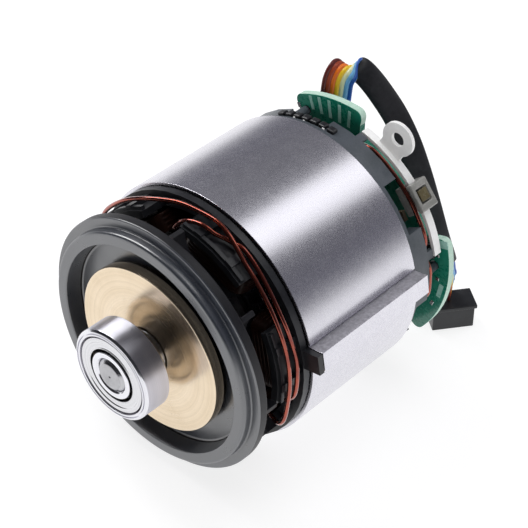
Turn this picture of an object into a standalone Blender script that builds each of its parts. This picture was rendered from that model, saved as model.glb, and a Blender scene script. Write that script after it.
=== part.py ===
"""Brushless inner-rotor motor for a cordless power tool.

The shaft lies along Y and the front bearing faces -Y. The origin is the
centre of the shaft's front end face. Sizes are in millimetres, turned into
metres by MM.
"""
import math

import bmesh
import bpy
from mathutils import Matrix, Vector

MM = 0.001
CLEARANCE = 0.3 * MM
MERGE_DISTANCE = 0.001 * MM

# Bearings, one at each end of the shaft
BEARING_OUTER_DIAMETER = 19.0 * MM
BEARING_BORE = 7.0 * MM
BEARING_WIDTH = 6.0 * MM
BEARING_SECTION = (BEARING_OUTER_DIAMETER - BEARING_BORE) / 2
BALL_DIAMETER = 0.66 * BEARING_SECTION
BALL_COUNT = 7
RING_WALL = 0.242 * BEARING_SECTION
RACE_DEPTH = 0.092 * BEARING_SECTION
CAGE_WALL = 0.133 * BEARING_SECTION
CAGE_LENGTH = 3.0 * MM
OUTER_RING_CHAMFER = 0.4 * MM
INNER_RING_CHAMFER = 0.25 * MM
SHIELD_THICKNESS = 0.35 * MM
SHIELD_RECESS = 0.3 * MM
FRONT_BEARING_FACE = 0.25 * MM

# Stator core
STATOR_DIAMETER = 54.0 * MM
STATOR_LENGTH = 30.0 * MM
STATOR_FRONT = 25.1 * MM
STATOR_BORE = 0.537 * STATOR_DIAMETER
YOKE_THICKNESS = 0.074 * STATOR_DIAMETER
TOOTH_COUNT = 6
TOOTH_WIDTH = 0.122 * STATOR_DIAMETER
TOOTH_TIP_THICKNESS = 0.0315 * STATOR_DIAMETER
SLOT_OPENING = 2.4 * MM
KEY_WIDTH = 4.0 * MM
KEY_HEIGHT = 3.0 * MM
KEY_ANGLE = 9.5
KEY_COUNT = 2
STATOR_RADIUS = STATOR_DIAMETER / 2
STATOR_REAR = STATOR_FRONT + STATOR_LENGTH
TOOTH_ANGLES = [KEY_ANGLE + i * 360.0 / TOOTH_COUNT for i in range(TOOTH_COUNT)]
SLOT_ANGLES = [angle + 180.0 / TOOTH_COUNT for angle in TOOTH_ANGLES]

# Fan, stepped inwards from its rim and backwards from its ridge
FAN_INSET = 0.45 * MM
FAN_DIAMETER = STATOR_DIAMETER - 2 * FAN_INSET
FAN_RIM_LAND = 0.9 * MM
COVE_WIDTH = 1.3 * MM
RIDGE_WIDTH = 2.35 * MM
RIDGE_DRAFT = 0.45 * MM
FLOOR_WIDTH = 4.95 * MM
RIDGE_FRONT = 9.4 * MM
COVE_DEPTH = 2.0 * MM
FLOOR_DEPTH = 3.8 * MM
WELL_DEPTH = 2.2 * MM
FAN_RIM_THICKNESS = 2.1 * MM
FAN_WALL = 1.6 * MM
FAN_HUB_DIAMETER = 16.0 * MM
FAN_HUB_REACH = 4.2 * MM
VANE_COUNT = 8
VANE_THICKNESS = 1.1 * MM
VANE_HEIGHT = 3.8 * MM
VANE_SINK = 0.5 * MM
VANE_TIP_INSET = 1.05 * MM
VANE_ROOT_INSET = 1.8 * MM
VANE_START_ANGLE = 84.0
VANE_SWEEP = 14.0
FAN_RIM_FRONT = RIDGE_FRONT + COVE_DEPTH
FAN_RIM_BACK = FAN_RIM_FRONT + FAN_RIM_THICKNESS
FAN_FLOOR = RIDGE_FRONT + FLOOR_DEPTH
FAN_WELL_FLOOR = FAN_FLOOR + WELL_DEPTH
RIDGE_OUTER_RADIUS = FAN_DIAMETER / 2 - FAN_RIM_LAND - COVE_WIDTH
RIDGE_INNER_RADIUS = RIDGE_OUTER_RADIUS - RIDGE_WIDTH
FAN_FLOOR_RADIUS = RIDGE_INNER_RADIUS - RIDGE_DRAFT
FAN_WELL_RADIUS = FAN_FLOOR_RADIUS - FLOOR_WIDTH

# Front balance disc, which lies in the fan's dish
DISC_SPACE = 4.65 * MM
DISC_DIAMETER = 2 * (RIDGE_INNER_RADIUS - DISC_SPACE)
DISC_THICKNESS = 2.2 * MM
DISC_FRONT = RIDGE_FRONT + CLEARANCE
DISC_CHAMFER = 0.25 * MM

# Rotor core and magnets
AIR_GAP = 0.5 * MM
ROTOR_DIAMETER = STATOR_BORE - 2 * AIR_GAP
POLE_COUNT = 4
MAGNET_WIDTH = 0.379 * ROTOR_DIAMETER
MAGNET_THICKNESS = 0.086 * ROTOR_DIAMETER
MAGNET_DEPTH = 0.068 * ROTOR_DIAMETER
END_PLATE_THICKNESS = 0.9 * MM
END_PLATE_INSET = 0.8 * MM
REAR_RING_INSET = 1.4 * MM
REAR_RING_THICKNESS = 3.2 * MM
BALANCE_HOLE_DIAMETER = 3.0 * MM
BALANCE_HOLE_DEPTH = 1.6 * MM
BALANCE_HOLE_ANGLES = (25.0, 62.0)

# Insulators
INSULATOR_PLATE = 1.0 * MM
INSULATOR_SKIRT_WALL = 1.6 * MM
SKIRT_LENGTH = 1.5 * MM
SKIRT_SHELF = 0.9 * MM
FRONT_WALL_LENGTH = 6.6 * MM
REAR_WALL_LENGTH = 4.6 * MM
FRONT_WALL_STEP = 2.4 * MM
REAR_WALL_STEP = 0.7 * MM
FRONT_WALL_RADIUS = STATOR_RADIUS - FRONT_WALL_STEP
REAR_WALL_RADIUS = STATOR_RADIUS - REAR_WALL_STEP
WALL_INNER_RADIUS = STATOR_RADIUS - YOKE_THICKNESS
WALL_INSET = 0.2 * MM
WALL_ROOT = 0.5 * MM
SLOT_LINER = 0.4 * MM
INNER_WALL_THICKNESS = 1.3 * MM
INNER_WALL_HEIGHT = 5.2 * MM
WINDOW_ANGLE = 23.0
GUIDE_POST_WIDTH = 1.6 * MM
GUIDE_POST_HEIGHT = 0.9 * MM
GUIDE_POST_OFFSET = 9.0
LEDGE_HEIGHT = 0.7 * MM
LEDGE_THICKNESS = 0.8 * MM
LEDGE_INSET = 0.35 * MM
TAB_LENGTH = 1.2 * MM
FRONT_INSULATOR_FACE = STATOR_FRONT - CLEARANCE
REAR_INSULATOR_FACE = STATOR_REAR + CLEARANCE
FRONT_WALL_END = FRONT_INSULATOR_FACE - FRONT_WALL_LENGTH
FRONT_SKIRT_END = FRONT_INSULATOR_FACE - SKIRT_LENGTH
REAR_WALL_END = REAR_INSULATOR_FACE + REAR_WALL_LENGTH

# Coils
COIL_BUILD = 0.072 * STATOR_DIAMETER
COIL_INNER_RADIUS = STATOR_BORE / 2 + 0.0555 * STATOR_DIAMETER
COIL_OUTER_RADIUS = WALL_INNER_RADIUS - 0.0315 * STATOR_DIAMETER
COIL_SIDE_GAP = 0.6 * MM
COIL_CORNER = 2.6 * MM
COIL_INNER_CORNER = 0.4 * MM

# Phase lugs: angle of the lug, then of the strip's two ends
STRIP_THICKNESS = 0.8 * MM
STRIP_WIDTH = 1.8 * MM
STRIP_INSET = 0.7 * MM
STRIP_LIFT = 1.9 * MM
STRIP_RADIUS = REAR_WALL_RADIUS - STRIP_INSET
STRIP_FRONT = REAR_WALL_END + STRIP_LIFT
STRIP_REAR = STRIP_FRONT + STRIP_WIDTH
STRIP_POST_INSET = 2.0
LUG_HOLE_DIAMETER = 2.9 * MM
LUG_HEAD_DIAMETER = 7.2 * MM
LUG_NECK_WIDTH = 5.4 * MM
LUG_REACH = 4.7 * MM
LUG_CENTRE_RADIUS = STRIP_RADIUS + LUG_REACH
PHASE_LUGS = ((62.0, 12.0, 76.0), (180.0, 172.0, 190.0), (216.0, 198.0, 237.0))

# Link wires
WIRE_DIAMETER = 0.9 * MM
REAR_WIRE_INSET = 0.55 * MM
WIRE_IN_WINDOW = COIL_OUTER_RADIUS + 0.55 * WIRE_DIAMETER
FRONT_WIRE_RADIUS = FRONT_WALL_RADIUS + GUIDE_POST_HEIGHT + CLEARANCE + WIRE_DIAMETER / 2
REAR_WIRE_RADIUS = REAR_WALL_RADIUS - REAR_WIRE_INSET
TUCKED_WIRE_RADIUS = STRIP_RADIUS - WALL_INSET - CLEARANCE - WIRE_DIAMETER / 2
REAR_WIRE_ALONG = REAR_WALL_END + CLEARANCE + WIRE_DIAMETER / 2

# Lead clip on the first strip
CLIP_ANGLE = 39.5
CLIP_WIDTH = 5.6 * MM
CLIP_INNER_WALL = 1.9 * MM
CLIP_OUTER_WALL = 1.1 * MM
CLIP_FRONT_WALL = 0.4 * MM
CLIP_REAR_WALL = 2.1 * MM
CLIP_WINDOW = 2.8 * MM
CLIP_INNER_RADIUS = STRIP_RADIUS - CLEARANCE - CLIP_INNER_WALL
CLIP_OUTER_RADIUS = STRIP_RADIUS + STRIP_THICKNESS + CLEARANCE + CLIP_OUTER_WALL
CLIP_FRONT = STRIP_FRONT - CLIP_FRONT_WALL
CLIP_LENGTH = CLIP_FRONT_WALL + STRIP_WIDTH + CLIP_REAR_WALL
CLIP_WINDOW_DEPTH = 0.8 * MM
CLIP_SLOT_ANGLE = 12.0

# Sensor board
BOARD_LIFT = 4.5 * MM
BOARD_FRONT = REAR_WALL_END + BOARD_LIFT
BOARD_THICKNESS = 1.6 * MM
BOARD_BACK = BOARD_FRONT + BOARD_THICKNESS
BOARD_INSET = 1.5 * MM
BOARD_OVERHANG = 0.5 * MM
BOARD_BODY_RADIUS = WALL_INNER_RADIUS - BOARD_INSET
BOARD_EAR_RADIUS = STATOR_RADIUS + BOARD_OVERHANG
BOARD_EAR_CORNER = 2.6 * MM
BOARD_EAR_ROUNDING = 4.0
BOARD_EAR_FLARE = 2.0
BOARD_BORE = 17.0 * MM
BOARD_EARS = ((81.0, 118.5), (-40.0, 17.0), (224.0, 262.0))
BOARD_POST_ANGLES = (114.0, 2.0, 238.0)
BOARD_POST_DIAMETER = 2.0 * MM
BOARD_POST_RADIUS = WALL_INNER_RADIUS + BOARD_POST_DIAMETER / 2
BOARD_PIN_DIAMETER = 1.4 * MM
BOARD_PIN_REACH = 0.8 * MM
BOARD_PIN_TIP = 0.3 * MM
HALL_INSET = 2.2 * MM
HALL_RADIUS = ROTOR_DIAMETER / 2 - HALL_INSET
HALL_SIZE = (3.0 * MM, 1.5 * MM, 2.9 * MM)
HALL_SPACING = 60.0
HALL_COUNT = 3
EDGE_PART_SIZE = (1.8 * MM, 0.9 * MM, 3.2 * MM)
EDGE_PART_STEP = 2.1 * MM
EDGE_PART_RADIUS = BOARD_BODY_RADIUS + EDGE_PART_STEP
EDGE_PART_ANGLE = 11.0
SMALL_PART_SIZE = (1.3 * MM, 0.9 * MM, 2.2 * MM)
SMALL_PART_INSET = 3.0 * MM
SMALL_PART_RADIUS = BOARD_BODY_RADIUS - SMALL_PART_INSET
TEMPERATURE_SENSOR_ANGLE = 60.0
CAPACITOR_ANGLES = (30.0, 90.0)

# Rear bearing and shaft
REAR_BEARING_SPACE = 1.5 * MM
REAR_BEARING_FACE = BOARD_BACK + REAR_BEARING_SPACE
SHAFT_TAIL = 5.9 * MM
SHAFT_LENGTH = REAR_BEARING_FACE + BEARING_WIDTH + SHAFT_TAIL
SHAFT_STEP = 1.5 * MM
SHOULDER_STEP = 0.4 * MM
SHAFT_CHAMFER = 0.45 * MM
SHAFT_FLAT_LENGTH = 4.5 * MM
SHAFT_FLAT_DEPTH = 0.5 * MM
BALL_PITCH_RADIUS = (BEARING_OUTER_DIAMETER + BEARING_BORE) / 4
BALL_RADIUS = BALL_DIAMETER / 2 - CLEARANCE
JOURNAL_RADIUS = BEARING_BORE / 2 - CLEARANCE
SHAFT_RADIUS = BEARING_BORE / 2 + SHAFT_STEP
SHOULDER_RADIUS = SHAFT_RADIUS - SHOULDER_STEP

# Sensor cable and its plug; the route was laid out for a stator 54 mm across
CABLE_DIAMETER = 3.4 * MM
CABLE_SCALE = STATOR_DIAMETER / 54.0
CABLE_EXIT_GAP = 0.35 * MM
PLUG_WIDTH = 9.0 * MM
PLUG_DEPTH = 5.2 * MM
PLUG_FLANGE_HEIGHT = 0.9 * MM
PLUG_LIP = 0.4 * MM
PLUG_TURN = 53.0
PLUG_SETBACK = 1.4 * MM

AXIS = Vector((0.0, 1.0, 0.0))


def material(name, colour, roughness, metallic=0.0):
    """A Principled material with one colour."""
    made = bpy.data.materials.new(name)
    made.use_nodes = True
    shader = made.node_tree.nodes["Principled BSDF"]
    shader.inputs["Base Color"].default_value = (*colour, 1.0)
    shader.inputs["Roughness"].default_value = roughness
    shader.inputs["Metallic"].default_value = metallic
    made.diffuse_color = (*colour, 1.0)
    return made


def make_object(name, bm, finish=None):
    """Turn a bmesh into a shaded object in the scene."""
    bmesh.ops.recalc_face_normals(bm, faces=bm.faces)
    mesh = bpy.data.meshes.new(name)
    bm.to_mesh(mesh)
    bm.free()
    made = bpy.data.objects.new(name, mesh)
    bpy.context.collection.objects.link(made)
    if finish is not None:
        mesh.materials.append(finish)
    shade(made)
    return made


def shade(made):
    """Smooth round walls and keep the edges of faces sharp."""
    made.data.shade_smooth()
    made.data.set_sharp_from_angle(angle=math.radians(32))


def polar(radius, degrees, along):
    """A point at a radius and an angle round the shaft."""
    turn = math.radians(degrees)
    return Vector((radius * math.cos(turn), along, radius * math.sin(turn)))


def lathe(profile, segments=44):
    """A closed ring or solid of revolution from (radius, along) points."""
    bm = bmesh.new()
    verts = [bm.verts.new((radius, along, 0.0)) for radius, along in profile]
    edges = [bm.edges.new(pair) for pair in zip(verts, verts[1:] + verts[:1])
             if pair[0].co.x + pair[1].co.x > 0.0]
    bmesh.ops.spin(bm, geom=verts + edges, cent=(0.0, 0.0, 0.0), axis=AXIS, dvec=(0.0, 0.0, 0.0),
                   angle=2 * math.pi, steps=segments, use_merge=True)
    bmesh.ops.remove_doubles(bm, verts=bm.verts, dist=MERGE_DISTANCE)
    return bm


def prism(outline, start, end):
    """A straight solid along the shaft from an outline of (x, z) points."""
    return extruded([(x, start, z) for x, z in outline], (0.0, end - start, 0.0))


def extruded(corners, reach):
    """A flat face through the corners, pushed out to a closed solid."""
    bm = bmesh.new()
    face = bm.faces.new([bm.verts.new(corner) for corner in corners])
    pushed = bmesh.ops.extrude_face_region(bm, geom=[face])["geom"]
    moved = [item for item in pushed if isinstance(item, bmesh.types.BMVert)]
    bmesh.ops.translate(bm, vec=reach, verts=moved)
    return bm


def arc(radius, first, last, steps):
    """Points (x, z) on an arc round the shaft."""
    turns = [math.radians(first + (last - first) * i / steps) for i in range(steps + 1)]
    return [(radius * math.cos(turn), radius * math.sin(turn)) for turn in turns]


def sector(inner, outer, first, last, start, end):
    """A piece of a tube between two angles, as a closed solid."""
    steps = max(1, round(abs(last - first) / 9.5))
    outline = arc(outer, first, last, steps) + arc(inner, last, first, steps)
    return prism(outline, start, end)


def box(centre, size, degrees=0.0):
    """A box whose X side is radial once it is turned to its angle."""
    bm = bmesh.new()
    bmesh.ops.create_cube(bm, size=1.0)
    bmesh.ops.scale(bm, vec=size, verts=bm.verts)
    bmesh.ops.translate(bm, vec=centre, verts=bm.verts)
    turn_about_axis(bm, degrees)
    return bm


def turn_about_axis(bm, degrees):
    """Turn a bmesh round the shaft, from +X towards +Z."""
    turn = math.radians(degrees)
    for vert in bm.verts:
        x, z = vert.co.x, vert.co.z
        vert.co.x = x * math.cos(turn) - z * math.sin(turn)
        vert.co.z = x * math.sin(turn) + z * math.cos(turn)


def rod(radius, start, end, segments=44):
    """A plain round bar along the shaft, centred on it."""
    return lathe([(0.0, start), (radius, start), (radius, end), (0.0, end)], segments)


def combine(target, bm, operation):
    """Join a shape to an object, or cut it away."""
    tool = make_object("tool", bm)
    change = target.modifiers.new("change", "BOOLEAN")
    change.operation = operation
    change.object = tool
    change.solver = "EXACT"
    depsgraph = bpy.context.evaluated_depsgraph_get()
    changed = bpy.data.meshes.new_from_object(target.evaluated_get(depsgraph))
    target.modifiers.remove(change)
    old = target.data
    target.data = changed
    bpy.data.meshes.remove(old)
    bpy.data.objects.remove(tool)
    shade(target)


def join(target, bm):
    combine(target, bm, "UNION")


def cut(target, bm):
    combine(target, bm, "DIFFERENCE")


def merge_flat_faces(made):
    """Join faces that lie in one plane, so that the cuts leave no needless edges."""
    bm = bmesh.new()
    bm.from_mesh(made.data)
    bmesh.ops.dissolve_limit(bm, angle_limit=math.radians(0.2), verts=bm.verts, edges=bm.edges)
    bm.to_mesh(made.data)
    bm.free()
    shade(made)
    return made


def merged(parts):
    """Several separate solids in one bmesh."""
    whole = bmesh.new()
    for bm in parts:
        mesh = bpy.data.meshes.new("piece")
        bm.to_mesh(mesh)
        bm.free()
        whole.from_mesh(mesh)
        bpy.data.meshes.remove(mesh)
    return whole


def smooth_path(route, samples):
    """Points along a Catmull-Rom curve through the route."""
    ends = [2 * route[0] - route[1], *route, 2 * route[-1] - route[-2]]
    spans = len(route) - 1
    points = []
    for i in range(samples + 1):
        place = spans * i / samples
        span = min(int(place), spans - 1)
        t = place - span
        a, b, c, d = ends[span:span + 4]
        points.append(0.5 * (2 * b + (c - a) * t + (2 * a - 5 * b + 4 * c - d) * t ** 2
                             + (3 * b - a - 3 * c + d) * t ** 3))
    return points


def tube(name, points, diameter, finish):
    """A round cord or wire along a polyline."""
    curve = bpy.data.curves.new(name, "CURVE")
    curve.dimensions = "3D"
    curve.bevel_depth = diameter / 2
    curve.bevel_resolution = 2
    curve.use_fill_caps = True
    spline = curve.splines.new("POLY")
    spline.points.add(len(points) - 1)
    for spot, point in zip(spline.points, points):
        spot.co = (*point, 1.0)
    made = bpy.data.objects.new(name, curve)
    bpy.context.collection.objects.link(made)
    curve.materials.append(finish)
    return made


# Rotor

def shaft():
    seat_end = FRONT_BEARING_FACE + BEARING_WIDTH + CLEARANCE
    rear_seat = REAR_BEARING_FACE - CLEARANCE
    body_start = DISC_FRONT - CLEARANCE
    body_end = STATOR_REAR + CLEARANCE + REAR_RING_THICKNESS + CLEARANCE
    tip = JOURNAL_RADIUS - SHAFT_CHAMFER
    core_radius = SHAFT_RADIUS - CLEARANCE
    profile = [(0.0, 0.0), (tip, 0.0), (JOURNAL_RADIUS, SHAFT_CHAMFER),
               (JOURNAL_RADIUS, seat_end), (SHOULDER_RADIUS, seat_end),
               (SHOULDER_RADIUS, body_start), (core_radius, body_start),
               (core_radius, body_end), (SHOULDER_RADIUS, body_end),
               (SHOULDER_RADIUS, rear_seat), (JOURNAL_RADIUS, rear_seat),
               (JOURNAL_RADIUS, SHAFT_LENGTH - SHAFT_CHAMFER), (tip, SHAFT_LENGTH),
               (0.0, SHAFT_LENGTH)]
    steel = material("shaft_steel", (0.62, 0.62, 0.64), 0.28, 1.0)
    made = make_object("shaft", lathe(profile, 20), steel)
    flat_depth = JOURNAL_RADIUS - SHAFT_FLAT_DEPTH
    centre = (flat_depth + JOURNAL_RADIUS, SHAFT_LENGTH - SHAFT_FLAT_LENGTH / 2, 0.0)
    size = (2 * JOURNAL_RADIUS, SHAFT_FLAT_LENGTH + 0.002 * MM, 4 * JOURNAL_RADIUS)
    cut(made, box(centre, size))
    return made


def front_balance_disc():
    brass = material("balance_brass", (0.80, 0.66, 0.42), 0.33, 1.0)
    end = DISC_FRONT + DISC_THICKNESS
    edge = DISC_DIAMETER / 2
    profile = [(SHAFT_RADIUS, DISC_FRONT), (edge - DISC_CHAMFER, DISC_FRONT),
               (edge, DISC_FRONT + DISC_CHAMFER), (edge, end), (SHAFT_RADIUS, end)]
    return make_object("front_balance_disc", lathe(profile), brass)


def fan_profile():
    """Half section of the fan's disc: rim, cove, ridge, floor, well and hub."""
    rim = FAN_DIAMETER / 2
    cove = []
    for i in range(5):
        turn = math.pi / 2 * i / 4
        cove.append((rim - FAN_RIM_LAND - COVE_WIDTH * math.sin(turn),
                     FAN_RIM_FRONT - COVE_DEPTH * (1 - math.cos(turn))))
    hub = FAN_HUB_DIAMETER / 2
    hub_end = FAN_WELL_FLOOR + FAN_HUB_REACH
    well = FAN_WELL_RADIUS
    well_back = FAN_WELL_FLOOR + FAN_WALL
    front = DISC_FRONT + DISC_THICKNESS + CLEARANCE
    return [(rim, FAN_RIM_FRONT), *cove, (RIDGE_INNER_RADIUS, RIDGE_FRONT),
            (FAN_FLOOR_RADIUS, FAN_FLOOR), (well, FAN_FLOOR), (well, FAN_WELL_FLOOR),
            (hub, FAN_WELL_FLOOR), (hub, front), (SHAFT_RADIUS, front), (SHAFT_RADIUS, hub_end),
            (hub, hub_end), (hub, well_back), (well + FAN_WALL, well_back),
            (well + 2 * FAN_WALL, FAN_FLOOR + FAN_WALL),
            (FAN_FLOOR_RADIUS + FAN_WALL / 2, FAN_FLOOR + FAN_WALL),
            (RIDGE_OUTER_RADIUS - FAN_WALL / 2, FAN_RIM_BACK), (rim, FAN_RIM_BACK)]


def vane(degrees):
    """One curved vane on the back of the fan."""
    inner = FAN_WELL_RADIUS + VANE_ROOT_INSET
    outer = FAN_DIAMETER / 2 - VANE_TIP_INSET
    steps = 2
    middle = []
    for i in range(steps + 1):
        share = i / steps
        radius = inner + (outer - inner) * share
        middle.append((radius, degrees - VANE_SWEEP * (1 - share) ** 2))
    edges = []
    for side in (0.5, -0.5):
        row = []
        for radius, angle in middle:
            spread = math.degrees(VANE_THICKNESS * side / radius)
            row.append(arc(radius, angle + spread, angle + spread, 1)[0])
        edges.append(row)
    return prism(edges[0] + edges[1][::-1], FAN_RIM_BACK - VANE_SINK, FAN_RIM_BACK + VANE_HEIGHT)


def fan():
    plastic = material("fan_plastic", (0.055, 0.057, 0.065), 0.38)
    made = make_object("fan", lathe(fan_profile()), plastic)
    vanes = [vane(VANE_START_ANGLE + 360.0 * i / VANE_COUNT) for i in range(VANE_COUNT)]
    join(made, merged(vanes))
    return made


def core_slots(start, end, grow=0.0):
    """The magnet slots, or the magnets themselves, as bars round the shaft."""
    centre = ROTOR_DIAMETER / 2 - MAGNET_DEPTH - MAGNET_THICKNESS / 2
    bars = []
    for i in range(POLE_COUNT):
        bars.append(box((centre, (start + end) / 2, 0.0),
                        (MAGNET_THICKNESS + 2 * grow, end - start, MAGNET_WIDTH + 2 * grow),
                        45.0 + i * 360.0 / POLE_COUNT))
    return bars


def rotor_core():
    steel = material("core_steel", (0.33, 0.34, 0.36), 0.5, 1.0)
    profile = [(SHAFT_RADIUS, STATOR_FRONT), (ROTOR_DIAMETER / 2, STATOR_FRONT),
               (ROTOR_DIAMETER / 2, STATOR_REAR), (SHAFT_RADIUS, STATOR_REAR)]
    made = make_object("rotor_core", lathe(profile), steel)
    cut(made, merged(core_slots(STATOR_FRONT - MM, STATOR_REAR + MM, CLEARANCE)))
    return merge_flat_faces(made)


def magnets():
    nickel = material("magnet_nickel", (0.46, 0.46, 0.48), 0.3, 1.0)
    made = []
    for i, bar in enumerate(core_slots(STATOR_FRONT + CLEARANCE, STATOR_REAR - CLEARANCE)):
        made.append(make_object(f"magnet_{i + 1}", bar, nickel))
    return made


def front_end_plate():
    aluminium = material("end_plate_aluminium", (0.72, 0.73, 0.75), 0.4, 1.0)
    end = STATOR_FRONT - CLEARANCE
    edge = ROTOR_DIAMETER / 2 - END_PLATE_INSET
    profile = [(SHAFT_RADIUS, end - END_PLATE_THICKNESS),
               (edge, end - END_PLATE_THICKNESS), (edge, end), (SHAFT_RADIUS, end)]
    return make_object("front_end_plate", lathe(profile, 28), aluminium)


def rear_balance_ring():
    brass = material("ring_brass", (0.78, 0.62, 0.36), 0.35, 1.0)
    start = STATOR_REAR + CLEARANCE
    end = start + REAR_RING_THICKNESS
    edge = ROTOR_DIAMETER / 2 - REAR_RING_INSET
    profile = [(SHAFT_RADIUS, start), (edge, start), (edge, end - DISC_CHAMFER),
               (edge - DISC_CHAMFER, end), (SHAFT_RADIUS, end)]
    made = make_object("rear_balance_ring", lathe(profile, 28), brass)
    middle = (edge + SHAFT_RADIUS + BALANCE_HOLE_DIAMETER) / 2 - DISC_CHAMFER * 2
    for degrees in BALANCE_HOLE_ANGLES:
        hole = rod(BALANCE_HOLE_DIAMETER / 2, end - BALANCE_HOLE_DEPTH, end + MM, 12)
        bmesh.ops.translate(hole, vec=polar(middle, degrees, 0.0), verts=hole.verts)
        cut(made, hole)
    return made


# Bearings

def race_profile(edge, bulge, start, end, chamfer, outward):
    """Profile of a bearing ring whose inner side holds a ball groove."""
    middle = (start + end) / 2
    half = BALL_DIAMETER * 0.34
    groove = [(edge, middle - half), (bulge, middle - half / 2), (bulge, middle + half / 2),
              (edge, middle + half)]
    wall = BEARING_OUTER_DIAMETER / 2 if outward else BEARING_BORE / 2
    inward = -chamfer if outward else chamfer
    return [(edge, start), *groove, (edge, end), (wall + inward, end), (wall, end - chamfer),
            (wall, start + chamfer), (wall + inward, start)]


def bearing(prefix, start):
    """The pieces of one deep groove bearing with its front face at start."""
    end = start + BEARING_WIDTH
    middle = (start + end) / 2
    steel = material(prefix + "_ring_steel", (0.66, 0.67, 0.69), 0.16, 1.0)
    pressed = material(prefix + "_shield_steel", (0.60, 0.61, 0.63), 0.32, 1.0)
    outer_edge = BEARING_OUTER_DIAMETER / 2 - RING_WALL
    inner_edge = BEARING_BORE / 2 + RING_WALL
    outer = make_object(prefix + "_outer", lathe(race_profile(
        outer_edge, outer_edge + RACE_DEPTH, start, end, OUTER_RING_CHAMFER, True), 28), steel)
    inner = make_object(prefix + "_inner", lathe(race_profile(
        inner_edge, inner_edge - RACE_DEPTH, start, end, INNER_RING_CHAMFER, False), 18), steel)
    outer_rim = outer_edge - CLEARANCE
    inner_rim = inner_edge + CLEARANCE
    shields = []
    for side, face, inwards in (("front", start + SHIELD_RECESS, 1),
                                ("rear", end - SHIELD_RECESS, -1)):
        back = face + inwards * SHIELD_THICKNESS
        shields.append(make_object(f"{prefix}_{side}_shield", lathe([
            (inner_rim, face), (outer_rim, face), (outer_rim, back), (inner_rim, back)], 20),
            pressed))
    return outer, inner, *shields, bearing_cage(prefix, middle)


def bearing_cage(prefix, middle):
    """A ring between the races that carries the balls in its pockets."""
    strip = material(prefix + "_cage_steel", (0.55, 0.55, 0.57), 0.4, 1.0)
    half_wall = CAGE_WALL / 2
    half_length = CAGE_LENGTH / 2
    made = make_object(prefix + "_cage", lathe([
        (BALL_PITCH_RADIUS - half_wall, middle - half_length),
        (BALL_PITCH_RADIUS + half_wall, middle - half_length),
        (BALL_PITCH_RADIUS + half_wall, middle + half_length),
        (BALL_PITCH_RADIUS - half_wall, middle + half_length)], 2 * BALL_COUNT), strip)
    balls = []
    for i in range(BALL_COUNT):
        ball = bmesh.new()
        bmesh.ops.create_uvsphere(ball, u_segments=5, v_segments=4, radius=BALL_RADIUS)
        bmesh.ops.translate(ball, vec=polar(BALL_PITCH_RADIUS, 360.0 * (i + 0.5) / BALL_COUNT,
                                            middle), verts=ball.verts)
        balls.append(ball)
    join(made, merged(balls))
    return made


# Stator

def tooth_side(radius, sign, width):
    """Angle from a tooth's middle to its side at a radius, in degrees."""
    return sign * math.degrees(math.asin(width / 2 / radius))


def slot_outline(slot_angle, bore, tip, yoke, tooth, opening):
    """Outline of one winding slot between two teeth, open to the bore."""
    half = 180.0 / TOOTH_COUNT
    reach = bore - 2 * MM
    side = []
    for radius in (reach, bore + tip):
        side.append((radius, math.degrees(math.asin(opening / 2 / radius))))
    for radius in (bore + 1.7 * tip, yoke):
        side.append((radius, half - tooth_side(radius, 1, tooth)))
    last = side[-1][1]
    arc_steps = 4
    for i in range(1, arc_steps):
        side.append((yoke, last * (1 - 2 * i / arc_steps)))
    mirrored = [(radius, -angle) for radius, angle in side[:4]][::-1]
    points = []
    for radius, angle in side + mirrored:
        turn = math.radians(slot_angle + angle)
        points.append((radius * math.cos(turn), radius * math.sin(turn)))
    return points


def stator_core():
    steel = material("stator_steel", (0.52, 0.52, 0.56), 0.36, 1.0)
    made = make_object("stator_core", rod(STATOR_RADIUS, STATOR_FRONT, STATOR_REAR, 72), steel)
    root = STATOR_RADIUS - MM
    for i in range(KEY_COUNT):
        key = box(((root + STATOR_RADIUS + KEY_HEIGHT) / 2, (STATOR_FRONT + STATOR_REAR) / 2, 0.0),
                  (STATOR_RADIUS + KEY_HEIGHT - root, STATOR_LENGTH, KEY_WIDTH),
                  KEY_ANGLE + 360.0 * i / KEY_COUNT)
        join(made, key)
    cut(made, rod(STATOR_BORE / 2, STATOR_FRONT - MM, STATOR_REAR + MM))
    yoke = STATOR_RADIUS - YOKE_THICKNESS
    slots = [prism(slot_outline(angle, STATOR_BORE / 2, TOOTH_TIP_THICKNESS, yoke, TOOTH_WIDTH,
                                SLOT_OPENING), STATOR_FRONT - MM, STATOR_REAR + MM)
             for angle in SLOT_ANGLES]
    cut(made, merged(slots))
    return merge_flat_faces(made)


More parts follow.
